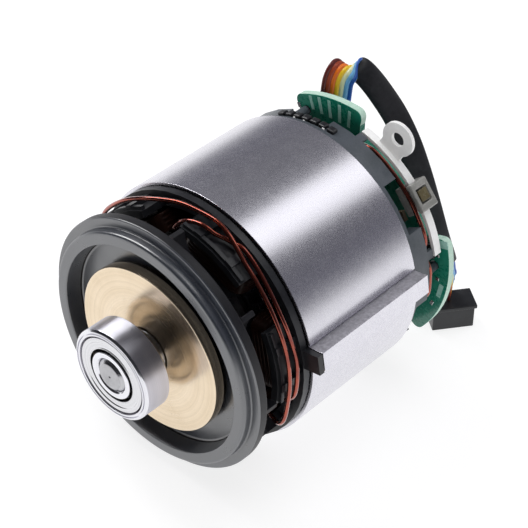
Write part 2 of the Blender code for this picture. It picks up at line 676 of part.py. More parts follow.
def insulator_body(name, finish, face, direction, wall_end, wall_outer):
    """Plate, toothed inner walls and windowed outer wall of one insulator."""
    plate_end = face + direction * INSULATOR_PLATE
    near, far = sorted((face, plate_end))
    made = make_object(name, rod(wall_outer + WALL_INSET, near, far), finish)
    bore = STATOR_BORE / 2 + CLEARANCE
    cut(made, rod(bore, near - MM, far + MM, 30))
    yoke = WALL_INNER_RADIUS
    slots = [prism(slot_outline(angle, bore, TOOTH_TIP_THICKNESS, yoke, TOOTH_WIDTH + 2 * SLOT_LINER,
                                SLOT_OPENING), near - MM, far + MM) for angle in SLOT_ANGLES]
    cut(made, merged(slots))
    inner_end = plate_end + direction * INNER_WALL_HEIGHT
    overlap = plate_end - direction * INSULATOR_PLATE / 2
    low, high = sorted((overlap, inner_end))
    inner_walls = []
    for angle in TOOTH_ANGLES:
        spread = 180.0 / TOOTH_COUNT - math.degrees(SLOT_OPENING / bore)
        inner_walls.append(sector(bore + WALL_INSET, bore + WALL_INSET + INNER_WALL_THICKNESS,
                                  angle - spread, angle + spread, low, high))
    join(made, merged(inner_walls))
    low, high = sorted((overlap, wall_end))
    outer_walls = []
    for angle in TOOTH_ANGLES:
        spread = 180.0 / TOOTH_COUNT - WINDOW_ANGLE / 2
        outer_walls.append(sector(yoke + WALL_INSET, wall_outer, angle - spread,
                                  angle + spread, low, high))
    join(made, merged(outer_walls))
    return made


def front_insulator():
    black = material("front_insulator_plastic", (0.022, 0.024, 0.028), 0.42)
    face = FRONT_INSULATOR_FACE
    wall_outer = FRONT_WALL_RADIUS
    made = insulator_body("front_insulator", black, face, -1, FRONT_WALL_END, wall_outer)
    skirt_outer = STATOR_RADIUS - 2 * CLEARANCE
    skirt_inner = skirt_outer - INSULATOR_SKIRT_WALL
    skirt = lathe([(skirt_inner, FRONT_SKIRT_END), (skirt_outer, FRONT_SKIRT_END),
                   (skirt_outer, face), (skirt_inner - SKIRT_SHELF, face),
                   (skirt_inner - SKIRT_SHELF, FRONT_SKIRT_END + SKIRT_LENGTH / 2)])
    join(made, skirt)
    guides = []
    ledges = []
    half_post = math.degrees(GUIDE_POST_WIDTH / 2 / wall_outer)
    for angle in TOOTH_ANGLES:
        for offset in (-GUIDE_POST_OFFSET, GUIDE_POST_OFFSET):
            middle = angle + offset
            guides.append(sector(wall_outer - WALL_ROOT, wall_outer + GUIDE_POST_HEIGHT,
                                 middle - half_post, middle + half_post,
                                 FRONT_WALL_END + CLEARANCE, FRONT_SKIRT_END + CLEARANCE))
        spread = 180.0 / TOOTH_COUNT - WINDOW_ANGLE / 2 - 1.0
        ledges.append(sector(wall_outer - 0.8 * WALL_ROOT, wall_outer + LEDGE_HEIGHT,
                             angle - spread, angle + spread, FRONT_WALL_END + LEDGE_INSET,
                             FRONT_WALL_END + LEDGE_INSET + LEDGE_THICKNESS))
    join(made, merged(ledges))
    join(made, merged(guides))
    tab_inner = skirt_outer - WALL_ROOT
    tab_outer = STATOR_RADIUS + KEY_HEIGHT
    join(made, box(((tab_inner + tab_outer) / 2, face - TAB_LENGTH / 2, 0.0),
                   (tab_outer - tab_inner, TAB_LENGTH, KEY_WIDTH), KEY_ANGLE))
    return merge_flat_faces(made)


def rear_insulator():
    grey = material("rear_insulator_plastic", (0.075, 0.078, 0.088), 0.45)
    made = insulator_body("rear_insulator", grey, REAR_INSULATOR_FACE, 1, REAR_WALL_END,
                          REAR_WALL_RADIUS)
    shoulder = BOARD_FRONT - CLEARANCE
    root = REAR_WALL_END - WALL_ROOT
    pin_end = BOARD_BACK + BOARD_PIN_REACH
    posts = []
    for angle in BOARD_POST_ANGLES:
        post = lathe([(0.0, root), (BOARD_POST_DIAMETER / 2, root), (BOARD_POST_DIAMETER / 2, shoulder),
                      (BOARD_PIN_DIAMETER / 2, shoulder), (BOARD_PIN_DIAMETER / 2, pin_end),
                      (0.0, pin_end + BOARD_PIN_TIP)], 12)
        bmesh.ops.translate(post, vec=polar(BOARD_POST_RADIUS, angle, 0.0), verts=post.verts)
        posts.append(post)
    join(made, merged(posts))
    rests = []
    for _, first, last in PHASE_LUGS:
        for middle in (first + STRIP_POST_INSET, last - STRIP_POST_INSET):
            rests.append(sector(STRIP_RADIUS - WALL_INSET, REAR_WALL_RADIUS - WALL_INSET / 2,
                                middle - STRIP_POST_INSET, middle + STRIP_POST_INSET, root,
                                STRIP_FRONT - CLEARANCE))
    join(made, merged(rests))
    return merge_flat_faces(made)


def coils():
    """Six windings, each a rounded ring round its tooth."""
    copper = material("coil_copper", (0.62, 0.24, 0.10), 0.35, 1.0)
    half_width = TOOTH_WIDTH / 2 + COIL_SIDE_GAP
    half_length = STATOR_LENGTH / 2 + CLEARANCE + INSULATOR_PLATE + CLEARANCE
    middle = (STATOR_FRONT + STATOR_REAR) / 2
    made = []
    for i, angle in enumerate(TOOTH_ANGLES):
        inner = rounded_rectangle(half_width, half_length, COIL_INNER_CORNER, 1)
        outer = rounded_rectangle(half_width + COIL_BUILD, half_length + COIL_BUILD, COIL_CORNER, 4)
        coil = make_object(f"coil_{i + 1}", radial_prism(outer, COIL_INNER_RADIUS,
                                                         COIL_OUTER_RADIUS, middle, angle), copper)
        cut(coil, radial_prism(inner, COIL_INNER_RADIUS - MM, COIL_OUTER_RADIUS + MM, middle,
                               angle))
        made.append(coil)
    return made


def rounded_rectangle(half_across, half_along, corner, steps):
    """Outline of (across, along) points with round corners."""
    points = []
    for quarter in range(4):
        sign_across = (1, -1, -1, 1)[quarter]
        sign_along = (1, 1, -1, -1)[quarter]
        for i in range(steps + 1):
            turn = math.pi / 2 * (quarter + i / steps)
            points.append((sign_across * (half_across - corner) + corner * math.cos(turn),
                           sign_along * (half_along - corner) + corner * math.sin(turn)))
    return points


def radial_prism(outline, inner, outer, middle, degrees):
    """A solid that runs outwards from the shaft at an angle."""
    bm = extruded([(inner, middle + along, across) for across, along in outline],
                  (outer - inner, 0.0, 0.0))
    turn_about_axis(bm, degrees)
    return bm


def link_wires():
    """Enamelled wires that link the coils round each insulator.

    A route's points are steps outwards from a named radius and along from the
    wall's end, both in wire diameters, with the angle between them. None
    stands for a point inside the window, beside the coil.
    """
    enamel = material("wire_enamel", (0.70, 0.25, 0.12), 0.25, 1.0)
    front_routes = {
        "front_link_wire_1": [(None, 160, 3.11), (-2.0, 154, 2.44), (-0.44, 148, 2.0), (0, 140, 1.67),
                              (0, 128, 1.44), (0, 118, 1.67), (0, 107, 2.44), (0, 96, 3.89),
                              (0, 86, 4.56), (0.56, 77, 4.67), (0.78, 70, 4.11), (0.56, 64, 3.44),
                              (0, 57, 2.89), (0, 48, 2.44), (0, 34, 2.0), (0, 18, 1.89),
                              (0, 4, 1.56), (0, -9, 1.22), (0.33, -17, 0.67), (-1.0, -22, 1.11),
                              (None, -25, 2.44)],
        "front_link_wire_2": [(None, 96, 1.78), (-2.11, 90, 1.67), (-0.56, 84, 1.89), (0, 78.5, 2.22),
                              (-0.61, 74, 2.89), (-0.72, 70, 3.78), (-0.61, 66, 4.44), (0, 62, 4.78),
                              (0, 54, 4.56), (0, 44, 4.0), (0, 34, 3.67), (0, 24, 3.78),
                              (0, 12, 4.11), (0, 4, 3.78), (0, -2, 3.44), (-0.44, -7, 3.33),
                              (-2.22, -12, 3.56), (None, -16.5, 4.0)],
    }
    tuck = (TUCKED_WIRE_RADIUS - REAR_WIRE_RADIUS) / WIRE_DIAMETER
    rear_routes = {
        "rear_link_wire_1": [(None, 98, -1.1), (tuck - 0.67, 92, -0.2), (tuck, 85, 0), (tuck, 74, 0),
                             (0, 66, 0), (0, 54, 0), (0, 40, 0), (0, 26, 0), (-0.2, 20, 0),
                             (tuck, 14, 0), (-0.1, 7, 0), (0, 2, 0), (0, -7, 0),
                             (-1.56, -13, -0.2), (None, -19, -1.1)],
        "rear_link_wire_2": [(None, 161, -1.1), (tuck - 0.67, 167, -0.2), (tuck, 174, 0),
                             (tuck, 184, 0), (tuck, 195, 0), (tuck, 206, 0),
                             (tuck - 0.67, 212, -0.2), (None, 218, -1.1)],
    }
    return [*laid_wires(front_routes, FRONT_WIRE_RADIUS, FRONT_WALL_END, 26, enamel),
            *laid_wires(rear_routes, REAR_WIRE_RADIUS, REAR_WIRE_ALONG, 16, enamel)]


def laid_wires(routes, radius, along, samples, finish):
    made = []
    for name, route in routes.items():
        points = []
        for step, angle, lift in route:
            reach = WIRE_IN_WINDOW if step is None else radius + step * WIRE_DIAMETER
            points.append(polar(reach, angle, along + lift * WIRE_DIAMETER))
        made.append(tube(name, smooth_path(points, samples), WIRE_DIAMETER, finish))
    return made


def phase_lug(name, angle, first, last):
    """A tinned strip on edge round the insulator, with one flat ring lug."""
    tin = material(name + "_tin", (0.82, 0.82, 0.80), 0.3, 1.0)
    made = make_object(name, sector(STRIP_RADIUS, STRIP_RADIUS + STRIP_THICKNESS, first, last,
                                    STRIP_FRONT, STRIP_REAR), tin)
    start = STRIP_REAR - STRIP_THICKNESS
    neck_half = LUG_NECK_WIDTH / 2
    head = LUG_HEAD_DIAMETER / 2
    meet = math.degrees(math.asin(neck_half / head))
    root = STRIP_RADIUS + STRIP_THICKNESS / 4
    outline = [(root, -neck_half)]
    steps = 18
    for i in range(steps + 1):
        turn = math.radians(-180 + meet + (360 - 2 * meet) * i / steps)
        outline.append((LUG_CENTRE_RADIUS + head * math.cos(turn), head * math.sin(turn)))
    outline.append((root, neck_half))
    lug = prism(outline, start, STRIP_REAR)
    turn_about_axis(lug, angle)
    join(made, lug)
    hole = rod(LUG_HOLE_DIAMETER / 2, start - MM, STRIP_REAR + MM, 20)
    bmesh.ops.translate(hole, vec=(LUG_CENTRE_RADIUS, 0.0, 0.0), verts=hole.verts)
    turn_about_axis(hole, angle)
    cut(made, hole)
    return made


def phase_lugs():
    return [phase_lug(f"phase_lug_{i + 1}", lug, first, last)
            for i, (lug, first, last) in enumerate(PHASE_LUGS)]


def lead_clip():
    """Nylon block that rides on the strip, with a brass piece in its window."""
    nylon = material("clip_nylon", (0.66, 0.66, 0.63), 0.35)
    brass = material("clip_insert_brass", (0.50, 0.42, 0.22), 0.35, 1.0)
    middle = CLIP_FRONT + CLIP_LENGTH / 2
    made = make_object("lead_clip", box(((CLIP_INNER_RADIUS + CLIP_OUTER_RADIUS) / 2, middle, 0.0),
                                        (CLIP_OUTER_RADIUS - CLIP_INNER_RADIUS, CLIP_LENGTH,
                                         CLIP_WIDTH), CLIP_ANGLE), nylon)
    cut(made, sector(STRIP_RADIUS - CLEARANCE, STRIP_RADIUS + STRIP_THICKNESS + CLEARANCE,
                     CLIP_ANGLE - CLIP_SLOT_ANGLE, CLIP_ANGLE + CLIP_SLOT_ANGLE, CLIP_FRONT - MM,
                     STRIP_REAR + CLEARANCE))
    depth = CLIP_WINDOW_DEPTH
    cut(made, box((CLIP_OUTER_RADIUS - depth / 2 + MM / 2, middle, 0.0),
                  (depth + MM, CLIP_WINDOW, CLIP_WINDOW), CLIP_ANGLE))
    size = CLIP_WINDOW - 2 * CLEARANCE
    insert = make_object("lead_clip_insert",
                         box((CLIP_OUTER_RADIUS - depth / 2 + CLEARANCE / 2, middle, 0.0),
                             (depth - CLEARANCE, size, size), CLIP_ANGLE), brass)
    return made, insert


# Sensor board

def board_outline():
    """Round board whose ears reach out to the posts."""
    body = BOARD_BODY_RADIUS
    ear = BOARD_EAR_RADIUS
    ears = sorted((first % 360.0, (first % 360.0) + last - first) for first, last in BOARD_EARS)
    corner = ((ear - BOARD_EAR_CORNER, 0.0), (ear - 0.3 * BOARD_EAR_CORNER, 0.35 * BOARD_EAR_ROUNDING))
    points = []
    for i, (first, last) in enumerate(ears):
        points += arc(body, first - BOARD_EAR_FLARE, first - BOARD_EAR_FLARE, 1)[:1]
        for radius, inwards in corner:
            points += arc(radius, first + inwards, first + inwards, 1)[:1]
        points += arc(ear, first + BOARD_EAR_ROUNDING, last - BOARD_EAR_ROUNDING, 8)
        for radius, inwards in corner[::-1]:
            points += arc(radius, last - inwards, last - inwards, 1)[:1]
        following = ears[(i + 1) % len(ears)][0] + (360.0 if i + 1 == len(ears) else 0.0)
        points += arc(body, last + BOARD_EAR_FLARE, following - 2 * BOARD_EAR_FLARE, 6)
    return points


def sensor_board():
    green = material("board_green", (0.02, 0.26, 0.16), 0.4)
    made = make_object("sensor_board", prism(board_outline(), BOARD_FRONT, BOARD_BACK), green)
    cut(made, rod(BOARD_BORE / 2, BOARD_FRONT - MM, BOARD_BACK + MM, 32))
    for angle in BOARD_POST_ANGLES:
        hole = rod(BOARD_PIN_DIAMETER / 2 + CLEARANCE, BOARD_FRONT - MM, BOARD_BACK + MM, 12)
        bmesh.ops.translate(hole, vec=polar(BOARD_POST_RADIUS, angle, 0.0), verts=hole.verts)
        cut(made, hole)
    return made


def hall_sensors():
    """One sensor at each magnet edge, on the side of the board that faces the rotor."""
    plastic = material("hall_plastic", (0.02, 0.02, 0.02), 0.5)
    return [board_part(f"hall_sensor_{i + 1}", HALL_RADIUS, KEY_ANGLE + i * HALL_SPACING,
                       HALL_SIZE, plastic) for i in range(HALL_COUNT)]


def board_part(name, radius, degrees, size, finish):
    """A small part soldered on the front side of the board."""
    thickness = size[1]
    place = BOARD_FRONT - CLEARANCE - thickness / 2
    return make_object(name, box((radius, place, 0.0), size, degrees), finish)


def board_parts():
    dark = material("component_body", (0.03, 0.025, 0.02), 0.5)
    tan = material("capacitor_ceramic", (0.42, 0.32, 0.22), 0.5)
    board_part("edge_component", EDGE_PART_RADIUS, EDGE_PART_ANGLE, EDGE_PART_SIZE, dark)
    board_part("temperature_sensor", SMALL_PART_RADIUS, TEMPERATURE_SENSOR_ANGLE, SMALL_PART_SIZE,
               dark)
    for i, degrees in enumerate(CAPACITOR_ANGLES):
        board_part(f"capacitor_{i + 1}", SMALL_PART_RADIUS, degrees, SMALL_PART_SIZE, tan)


# Sensor cable

def cable_route():
    """Hand-chosen points of the cable; Y counts from its exit at the back of the board."""
    points = [(-7.2, 0.0, 19.2), (-7.2, 1.15, 19.25), (-7.2, 2.75, 20.3), (-7.2, 3.55, 22.4),
              (-7.1, 3.75, 24.9), (-7.0, 4.15, 27.2), (-6.7, 5.15, 28.8), (-6.3, 6.95, 29.3),
              (-5.2, 8.65, 28.3), (-3.2, 9.35, 26.7), (0.2, 9.25, 24.4), (4.2, 8.75, 21.5),
              (8.3, 8.05, 17.3), (11.9, 7.45, 11.8), (15.1, 6.95, 5.8), (18.1, 6.65, -0.7),
              (19.6, 7.75, -6.1), (19.6, 10.15, -11.6), (18.2, 12.95, -16.2),
              (17.2, 14.35, -19.0), (17.0, 14.55, -20.7)]
    exit_point = Vector((0.0, BOARD_BACK + CABLE_EXIT_GAP, 0.0))
    return [exit_point + Vector(point) * CABLE_SCALE for point in points]


def sensor_cable():
    sleeve = material("cable_sleeve", (0.025, 0.025, 0.028), 0.6)
    return tube("sensor_cable", smooth_path(cable_route(), 38), CABLE_DIAMETER, sleeve)


def sensor_plug():
    """Plug that stands under the cable's end, on the plane the stator lies on."""
    plastic = material("plug_plastic", (0.018, 0.018, 0.02), 0.4)
    end = cable_route()[-1]
    top = end.z - CLEARANCE
    bottom = -STATOR_RADIUS
    flange = top - PLUG_FLANGE_HEIGHT
    made = make_object("sensor_plug", plug_block(end, PLUG_WIDTH, PLUG_DEPTH, bottom,
                                                 flange + CLEARANCE), plastic)
    join(made, plug_block(end, PLUG_WIDTH + 2 * PLUG_LIP, PLUG_DEPTH + 2 * PLUG_LIP, flange, top))
    return made


def plug_block(end, width, depth, low, high):
    """A level of the plug, turned to lie the way the cable left it."""
    bm = box((0.0, 0.0, (low + high) / 2), (width, depth, high - low))
    turn = Matrix.Rotation(math.radians(PLUG_TURN), 4, "Z")
    bmesh.ops.transform(bm, matrix=turn, verts=bm.verts)
    reach = turn @ Vector((0.0, -PLUG_SETBACK, 0.0))
    bmesh.ops.translate(bm, vec=(end.x + reach.x, end.y + reach.y, 0.0), verts=bm.verts)
    return bm


def build():
    for old in list(bpy.data.objects):
        bpy.data.objects.remove(old)
    turning = bpy.data.objects.new("rotor_axis", None)
    bpy.context.collection.objects.link(turning)
    rotor = [shaft(), front_balance_disc(), fan(), rotor_core(), front_end_plate(),
             rear_balance_ring(), *magnets(), *bearing("front_bearing", FRONT_BEARING_FACE),
             *bearing("rear_bearing", REAR_BEARING_FACE)]
    for piece in rotor:
        piece.parent = turning
    stator_core()
    front_insulator()
    rear_insulator()
    coils()
    link_wires()
    phase_lugs()
    lead_clip()
    sensor_board()
    hall_sensors()
    board_parts()
    sensor_cable()
    sensor_plug()


build()
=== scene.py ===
import math
import bpy
from mathutils import Matrix, Vector


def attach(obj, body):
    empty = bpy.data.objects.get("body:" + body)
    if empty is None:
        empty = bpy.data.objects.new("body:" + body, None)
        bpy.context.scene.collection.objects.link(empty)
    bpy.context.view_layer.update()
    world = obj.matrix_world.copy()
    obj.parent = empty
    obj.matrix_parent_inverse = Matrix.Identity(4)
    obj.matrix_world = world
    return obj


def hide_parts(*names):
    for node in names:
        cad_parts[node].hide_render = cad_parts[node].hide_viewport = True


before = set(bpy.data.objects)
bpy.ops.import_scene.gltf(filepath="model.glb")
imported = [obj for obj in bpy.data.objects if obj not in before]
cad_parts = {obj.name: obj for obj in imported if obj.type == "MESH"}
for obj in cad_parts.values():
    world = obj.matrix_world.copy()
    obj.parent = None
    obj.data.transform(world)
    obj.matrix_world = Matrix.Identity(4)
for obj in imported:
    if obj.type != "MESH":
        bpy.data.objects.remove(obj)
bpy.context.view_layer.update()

mm = 0.001


# view and light

cameraSet = {
    "place": (166.153, -138.990, 200.109),  # mm, in the part's own frame
    "right": (0.7353, 0.6777, 0.0),
    "up": (-0.4263, 0.4625, 0.7774),
    "back": (0.5269, -0.5716, 0.6290),
    "lens": 110.3,
}
lightSet = {
    "floorHeight": -27.05,
    "floorColour": (0.28, 0.28, 0.285, 1.0),
    "floorGlow": 0.80,
    "floorSize": 6.0,
    "bandLight": {"aim": (0.205, 0.572, 0.795), "away": 620, "size": (245, 400), "power": 0.41,
                  "gloss": True},
    "sideBox": {"aim": (-0.68, 0.10, 0.71), "away": 500, "size": (170, 380), "power": 1.3,
                "gloss": True},
    "topFill": {"aim": (0.1, 0.1, 1.0), "away": 900, "size": (700, 700), "power": 3.6,
                "gloss": False},
    "frontFill": {"aim": (-0.45, -0.85, 0.05), "away": 900, "size": (700, 700), "power": 3.6,
                  "gloss": False},
    "rightFill": {"aim": (0.85, -0.2, 0.2), "away": 900, "size": (600, 600), "power": 2.0,
                  "gloss": False},
    "frontShade": (-0.35, 0.35, 0.22),  # the sky is darker on the rotor's side of the room
    "skyStops": [(0.0, (0.9, 0.9, 0.9)), (0.49, (0.52, 0.52, 0.53)), (0.525, (0.38, 0.38, 0.40)),
                 (0.57, (0.20, 0.20, 0.225)), (0.65, (0.125, 0.125, 0.15)),
                 (0.84, (0.165, 0.165, 0.18)), (1.0, (0.26, 0.26, 0.28))],
}


def makeCamera():
    bpy.ops.object.camera_add(location=Vector(cameraSet["place"]) * mm)
    camera = bpy.context.object
    axes = [Vector(cameraSet[key]) for key in ("right", "up", "back")]
    turn = Matrix((axes[0], axes[1], axes[2])).transposed()
    camera.rotation_euler = turn.to_euler()
    camera.data.lens = cameraSet["lens"]
    camera.data.sensor_width = 36.0
    camera.data.clip_start = 0.01
    bpy.context.scene.camera = camera
    bpy.context.scene.view_settings.view_transform = "Standard"
    print("camera placed")


def addLight(name, values):
    aim = Vector(values["aim"]).normalized()
    bpy.ops.object.light_add(type="AREA", location=aim * values["away"] * mm)
    lamp = bpy.context.object
    lamp.name = name
    lamp.rotation_euler = aim.to_track_quat("Z", "Y").to_euler()
    lamp.data.shape = "RECTANGLE"
    lamp.data.size = values["size"][0] * mm
    lamp.data.size_y = values["size"][1] * mm
    lamp.data.energy = values["power"]
    lamp.visible_camera = False
    lamp.visible_glossy = values["gloss"]


def makeLight():
    for name in ("bandLight", "sideBox", "topFill", "frontFill", "rightFill"):
        addLight(name, lightSet[name])
    sky = bpy.data.worlds.new("studioSky")
    bpy.context.scene.world = sky
    sky.use_nodes = True
    tree = sky.node_tree
    where = tree.nodes.new("ShaderNodeTexCoord")
    split = tree.nodes.new("ShaderNodeSeparateXYZ")
    spread = tree.nodes.new("ShaderNodeMapRange")
    ramp = tree.nodes.new("ShaderNodeValToRGB")
    spread.inputs["From Min"].default_value = -1.0
    fillRamp(ramp, lightSet["skyStops"])
    tree.links.new(where.outputs["Generated"], split.inputs[0])
    tree.links.new(split.outputs["Z"], spread.inputs["Value"])
    tree.links.new(spread.outputs["Result"], ramp.inputs["Fac"])
    shade = tree.nodes.new("ShaderNodeMapRange")
    for label, value in zip(("From Min", "From Max", "To Min"), lightSet["frontShade"]):
        shade.inputs[label].default_value = value
    tree.links.new(split.outputs["Y"], shade.inputs["Value"])
    dimmed = tree.nodes.new("ShaderNodeVectorMath")
    dimmed.operation = "SCALE"
    tree.links.new(ramp.outputs["Color"], dimmed.inputs[0])
    tree.links.new(shade.outputs["Result"], dimmed.inputs["Scale"])
    tree.links.new(dimmed.outputs[0], tree.nodes["Background"].inputs["Color"])
    bpy.ops.mesh.primitive_plane_add(size=lightSet["floorSize"],
                                     location=(0, 0, lightSet["floorHeight"] * mm))
    floor = bpy.context.object
    floor.name = "tableTop"
    white = bpy.data.materials.new("tableTop")
    white.use_nodes = True
    shader = white.node_tree.nodes["Principled BSDF"]
    shader.inputs["Base Color"].default_value = lightSet["floorColour"]
    shader.inputs["Roughness"].default_value = 0.7
    shader.inputs["Emission Color"].default_value = (1.0, 1.0, 1.0, 1.0)
    shader.inputs["Emission Strength"].default_value = lightSet["floorGlow"]
    floor.data.materials.append(white)
    print("floor and light placed")


def fillRamp(ramp, stops):
    points = ramp.color_ramp.elements
    while len(points) < len(stops):
        points.new(0.5)
    for point, (place, colour) in zip(points, stops):
        point.position = place
        point.color = (*colour, 1.0)


# modelling helpers

def deselect():
    bpy.ops.object.select_all(action="DESELECT")


def pick(piece):
    deselect()
    piece.select_set(True)
    bpy.context.view_layer.objects.active = piece


def startPoint(name):  # one loose point at the origin, left in edit mode
    deselect()
    bpy.ops.mesh.primitive_plane_add(size=mm, location=(0, 0, 0))
    piece = bpy.context.object
    piece.name = piece.data.name = name
    bpy.ops.object.mode_set(mode="EDIT")
    bpy.ops.mesh.select_all(action="SELECT")
    bpy.ops.mesh.merge(type="CENTER")
    return piece


def drawLine(points):  # drags the point along, leaving an edge behind each step
    bpy.ops.transform.translate(value=Vector(points[0]) * mm)
    for here, there in zip(points, points[1:]):
        step = (Vector(there) - Vector(here)) * mm
        bpy.ops.mesh.extrude_region_move(TRANSFORM_OT_translate={"value": step})


def mend():
    bpy.ops.mesh.select_all(action="SELECT")
    bpy.ops.mesh.remove_doubles(threshold=0.000001)
    bpy.ops.mesh.normals_make_consistent(inside=False)


def turned(name, profile, steps=128):  # (radius, along) points spun round the shaft
    piece = startPoint(name)
    points = [(radius, along, 0.0) for radius, along in profile]
    hollow = profile[0][0] > 0.0 or profile[-1][0] > 0.0
    drawLine(points + points[:1] if hollow else points)
    mend()
    bpy.ops.mesh.spin(steps=steps, angle=2 * math.pi, center=(0, 0, 0), axis=(0, 1, 0))
    mend()
    bpy.ops.object.mode_set(mode="OBJECT")
    return piece


def slab(name, outline, near, far):  # (x, z) outline pushed along the shaft
    piece = startPoint(name)
    points = [(x, near, z) for x, z in outline]
    drawLine(points + points[:1])
    mend()
    bpy.ops.mesh.edge_face_add()
    bpy.ops.mesh.extrude_region_move(TRANSFORM_OT_translate={"value": (0, (far - near) * mm, 0)})
    mend()
    bpy.ops.object.mode_set(mode="OBJECT")
    return piece


def block(name, centre, size, angle=0.0):  # a box whose X side is radial at its angle
    deselect()
    bpy.ops.mesh.primitive_cube_add(size=1.0, location=Vector(centre) * mm,
                                    scale=Vector(size) * mm)
    piece = bpy.context.object
    piece.name = piece.data.name = name
    bpy.ops.object.transform_apply(location=True, rotation=True, scale=True)
    piece.data.transform(Matrix.Rotation(math.radians(-angle), 4, "Y"))
    return piece


def finishWith(piece, kind, **values):
    pick(piece)
    change = piece.modifiers.new(kind.title(), kind)
    for key, value in values.items():
        setattr(change, key, value)
    bpy.ops.object.modifier_apply(modifier=change.name)
    return piece


def combine(piece, tool, operation):
    finishWith(piece, "BOOLEAN", object=tool, operation=operation, solver="EXACT")
    bpy.data.objects.remove(tool)
    return piece


def bevelled(piece, width, segments=2, angle=35):
    return finishWith(piece, "BEVEL", width=width * mm, segments=segments, limit_method="ANGLE",
                      angle_limit=math.radians(angle), harden_normals=False)


def smooth(piece, angle=40):  # round stretches shade softly while flat faces stay flat
    pick(piece)
    bpy.ops.object.shade_smooth_by_angle(angle=math.radians(angle))
    return finishWith(piece, "WEIGHTED_NORMAL", mode="FACE_AREA", weight=90, keep_sharp=True)


def eased(corners, steps=3):  # (radius, along, ease) corners rounded by their own ease
    line = []
    for i, (radius, along, ease) in enumerate(corners):
        here = Vector((radius, along))
        if not ease:
            line.append((radius, along))
            continue
        before = Vector(corners[i - 1][:2]) - here
        after = Vector(corners[(i + 1) % len(corners)][:2]) - here
        start = here + before.normalized() * min(ease, before.length * 0.45)
        end = here + after.normalized() * min(ease, after.length * 0.45)
        for k in range(steps + 1):
            t = k / steps
            line.append(tuple(start * (1 - t) ** 2 + here * 2 * t * (1 - t) + end * t ** 2))
    return line


def arc(radius, first, last, steps):
    turns = [math.radians(first + (last - first) * i / steps) for i in range(steps + 1)]
    return [(radius * math.cos(turn), radius * math.sin(turn)) for turn in turns]


def around(radius, angle, along):
    turn = math.radians(angle)
    return Vector((radius * math.cos(turn), along, radius * math.sin(turn)))


def smoothLine(route, count):  # a soft curve through given points
    ends = [2 * route[0] - route[1], *route, 2 * route[-1] - route[-2]]
    spans = len(route) - 1
    line = []
    for i in range(count + 1):
        place = spans * i / count
        span = min(int(place), spans - 1)
        t = place - span
        a, b, c, d = ends[span:span + 4]
        line.append(0.5 * (2 * b + (c - a) * t + (2 * a - 5 * b + 4 * c - d) * t ** 2
                           + (3 * b - a - 3 * c + d) * t ** 3))
    return line


def wire(name, line, diameter, closed=False, sides=3):  # points in mm
    deselect()
    bpy.ops.curve.primitive_nurbs_path_add(location=(0, 0, 0))
    piece = bpy.context.object
    piece.name = piece.data.name = name
    piece.data.splines.clear()
    spline = piece.data.splines.new("POLY")
    spline.points.add(len(line) - 1)
    for spot, point in zip(spline.points, line):
        spot.co = (*(Vector(point) * mm), 1.0)
    spline.use_cyclic_u = closed
    piece.data.bevel_depth = diameter / 2 * mm
    piece.data.bevel_resolution = sides
    piece.data.use_fill_caps = not closed
    bpy.ops.object.convert(target="MESH")
    piece = bpy.context.object
    bpy.ops.object.mode_set(mode="EDIT")
    mend()
    bpy.ops.object.mode_set(mode="OBJECT")
    bpy.ops.object.shade_smooth()
    return piece


def joined(name, parts):
    deselect()
    for part in parts:
        part.select_set(True)
    bpy.context.view_layer.objects.active = parts[0]
    bpy.ops.object.join()
    parts[0].name = parts[0].data.name = name
    return parts[0]


def refined(node, name, width=0.1, segments=2, angle=35):  # a CAD shape with its edges eased
    mesh = bpy.data.objects[node].data.copy()
    mesh.materials.clear()
    piece = bpy.data.objects.new(name, mesh)
    bpy.context.collection.objects.link(piece)
    pick(piece)
    bpy.ops.object.mode_set(mode="EDIT")
    mend()
    bpy.ops.mesh.dissolve_limited(angle_limit=math.radians(1.0))
    bpy.ops.object.mode_set(mode="OBJECT")
    if width:
        bevelled(piece, width, segments, angle)
    return smooth(piece)


def place(piece, body, finish, *replaced):
    piece.data.materials.clear()
    piece.data.materials.append(finish)
    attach(piece, body)
    if replaced:
        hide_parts(*replaced)
    return piece


def alsoFinish(piece, finish, chosen):  # a second finish on the faces that chosen picks
    piece.data.materials.append(finish)
    for face in piece.data.polygons:
        if chosen(face.center / mm, face.normal):
            face.material_index = 1


# shader groups

def newGroup(name, inputs, outputs):
    group = bpy.data.node_groups.new(name, "ShaderNodeTree")
    for label, kind, value in inputs:
        socket = group.interface.new_socket(label, in_out="INPUT", socket_type=kind)
        if value is not None:
            socket.default_value = value
    for label, kind in outputs:
        group.interface.new_socket(label, in_out="OUTPUT", socket_type=kind)
    group.nodes.new("NodeGroupInput")
    group.nodes.new("NodeGroupOutput")
    return group


def math1(tree, operation, first, second=None):
    node = tree.nodes.new("ShaderNodeMath")
    node.operation = operation
    for socket, value in zip(node.inputs, (first, second)):
        if value is None:
            continue
        if isinstance(value, (int, float)):
            socket.default_value = value
        else:
            tree.links.new(value, socket)
    return node.outputs[0]


def noise1(tree, vector, scale, detail=3.0, rough=0.5):
    node = tree.nodes.new("ShaderNodeTexNoise")
    node.inputs["Detail"].default_value = detail
    node.inputs["Roughness"].default_value = rough
    tree.links.new(vector, node.inputs["Vector"])
    if isinstance(scale, (int, float)):
        node.inputs["Scale"].default_value = scale
    else:
        tree.links.new(scale, node.inputs["Scale"])
    return node.outputs["Fac"]


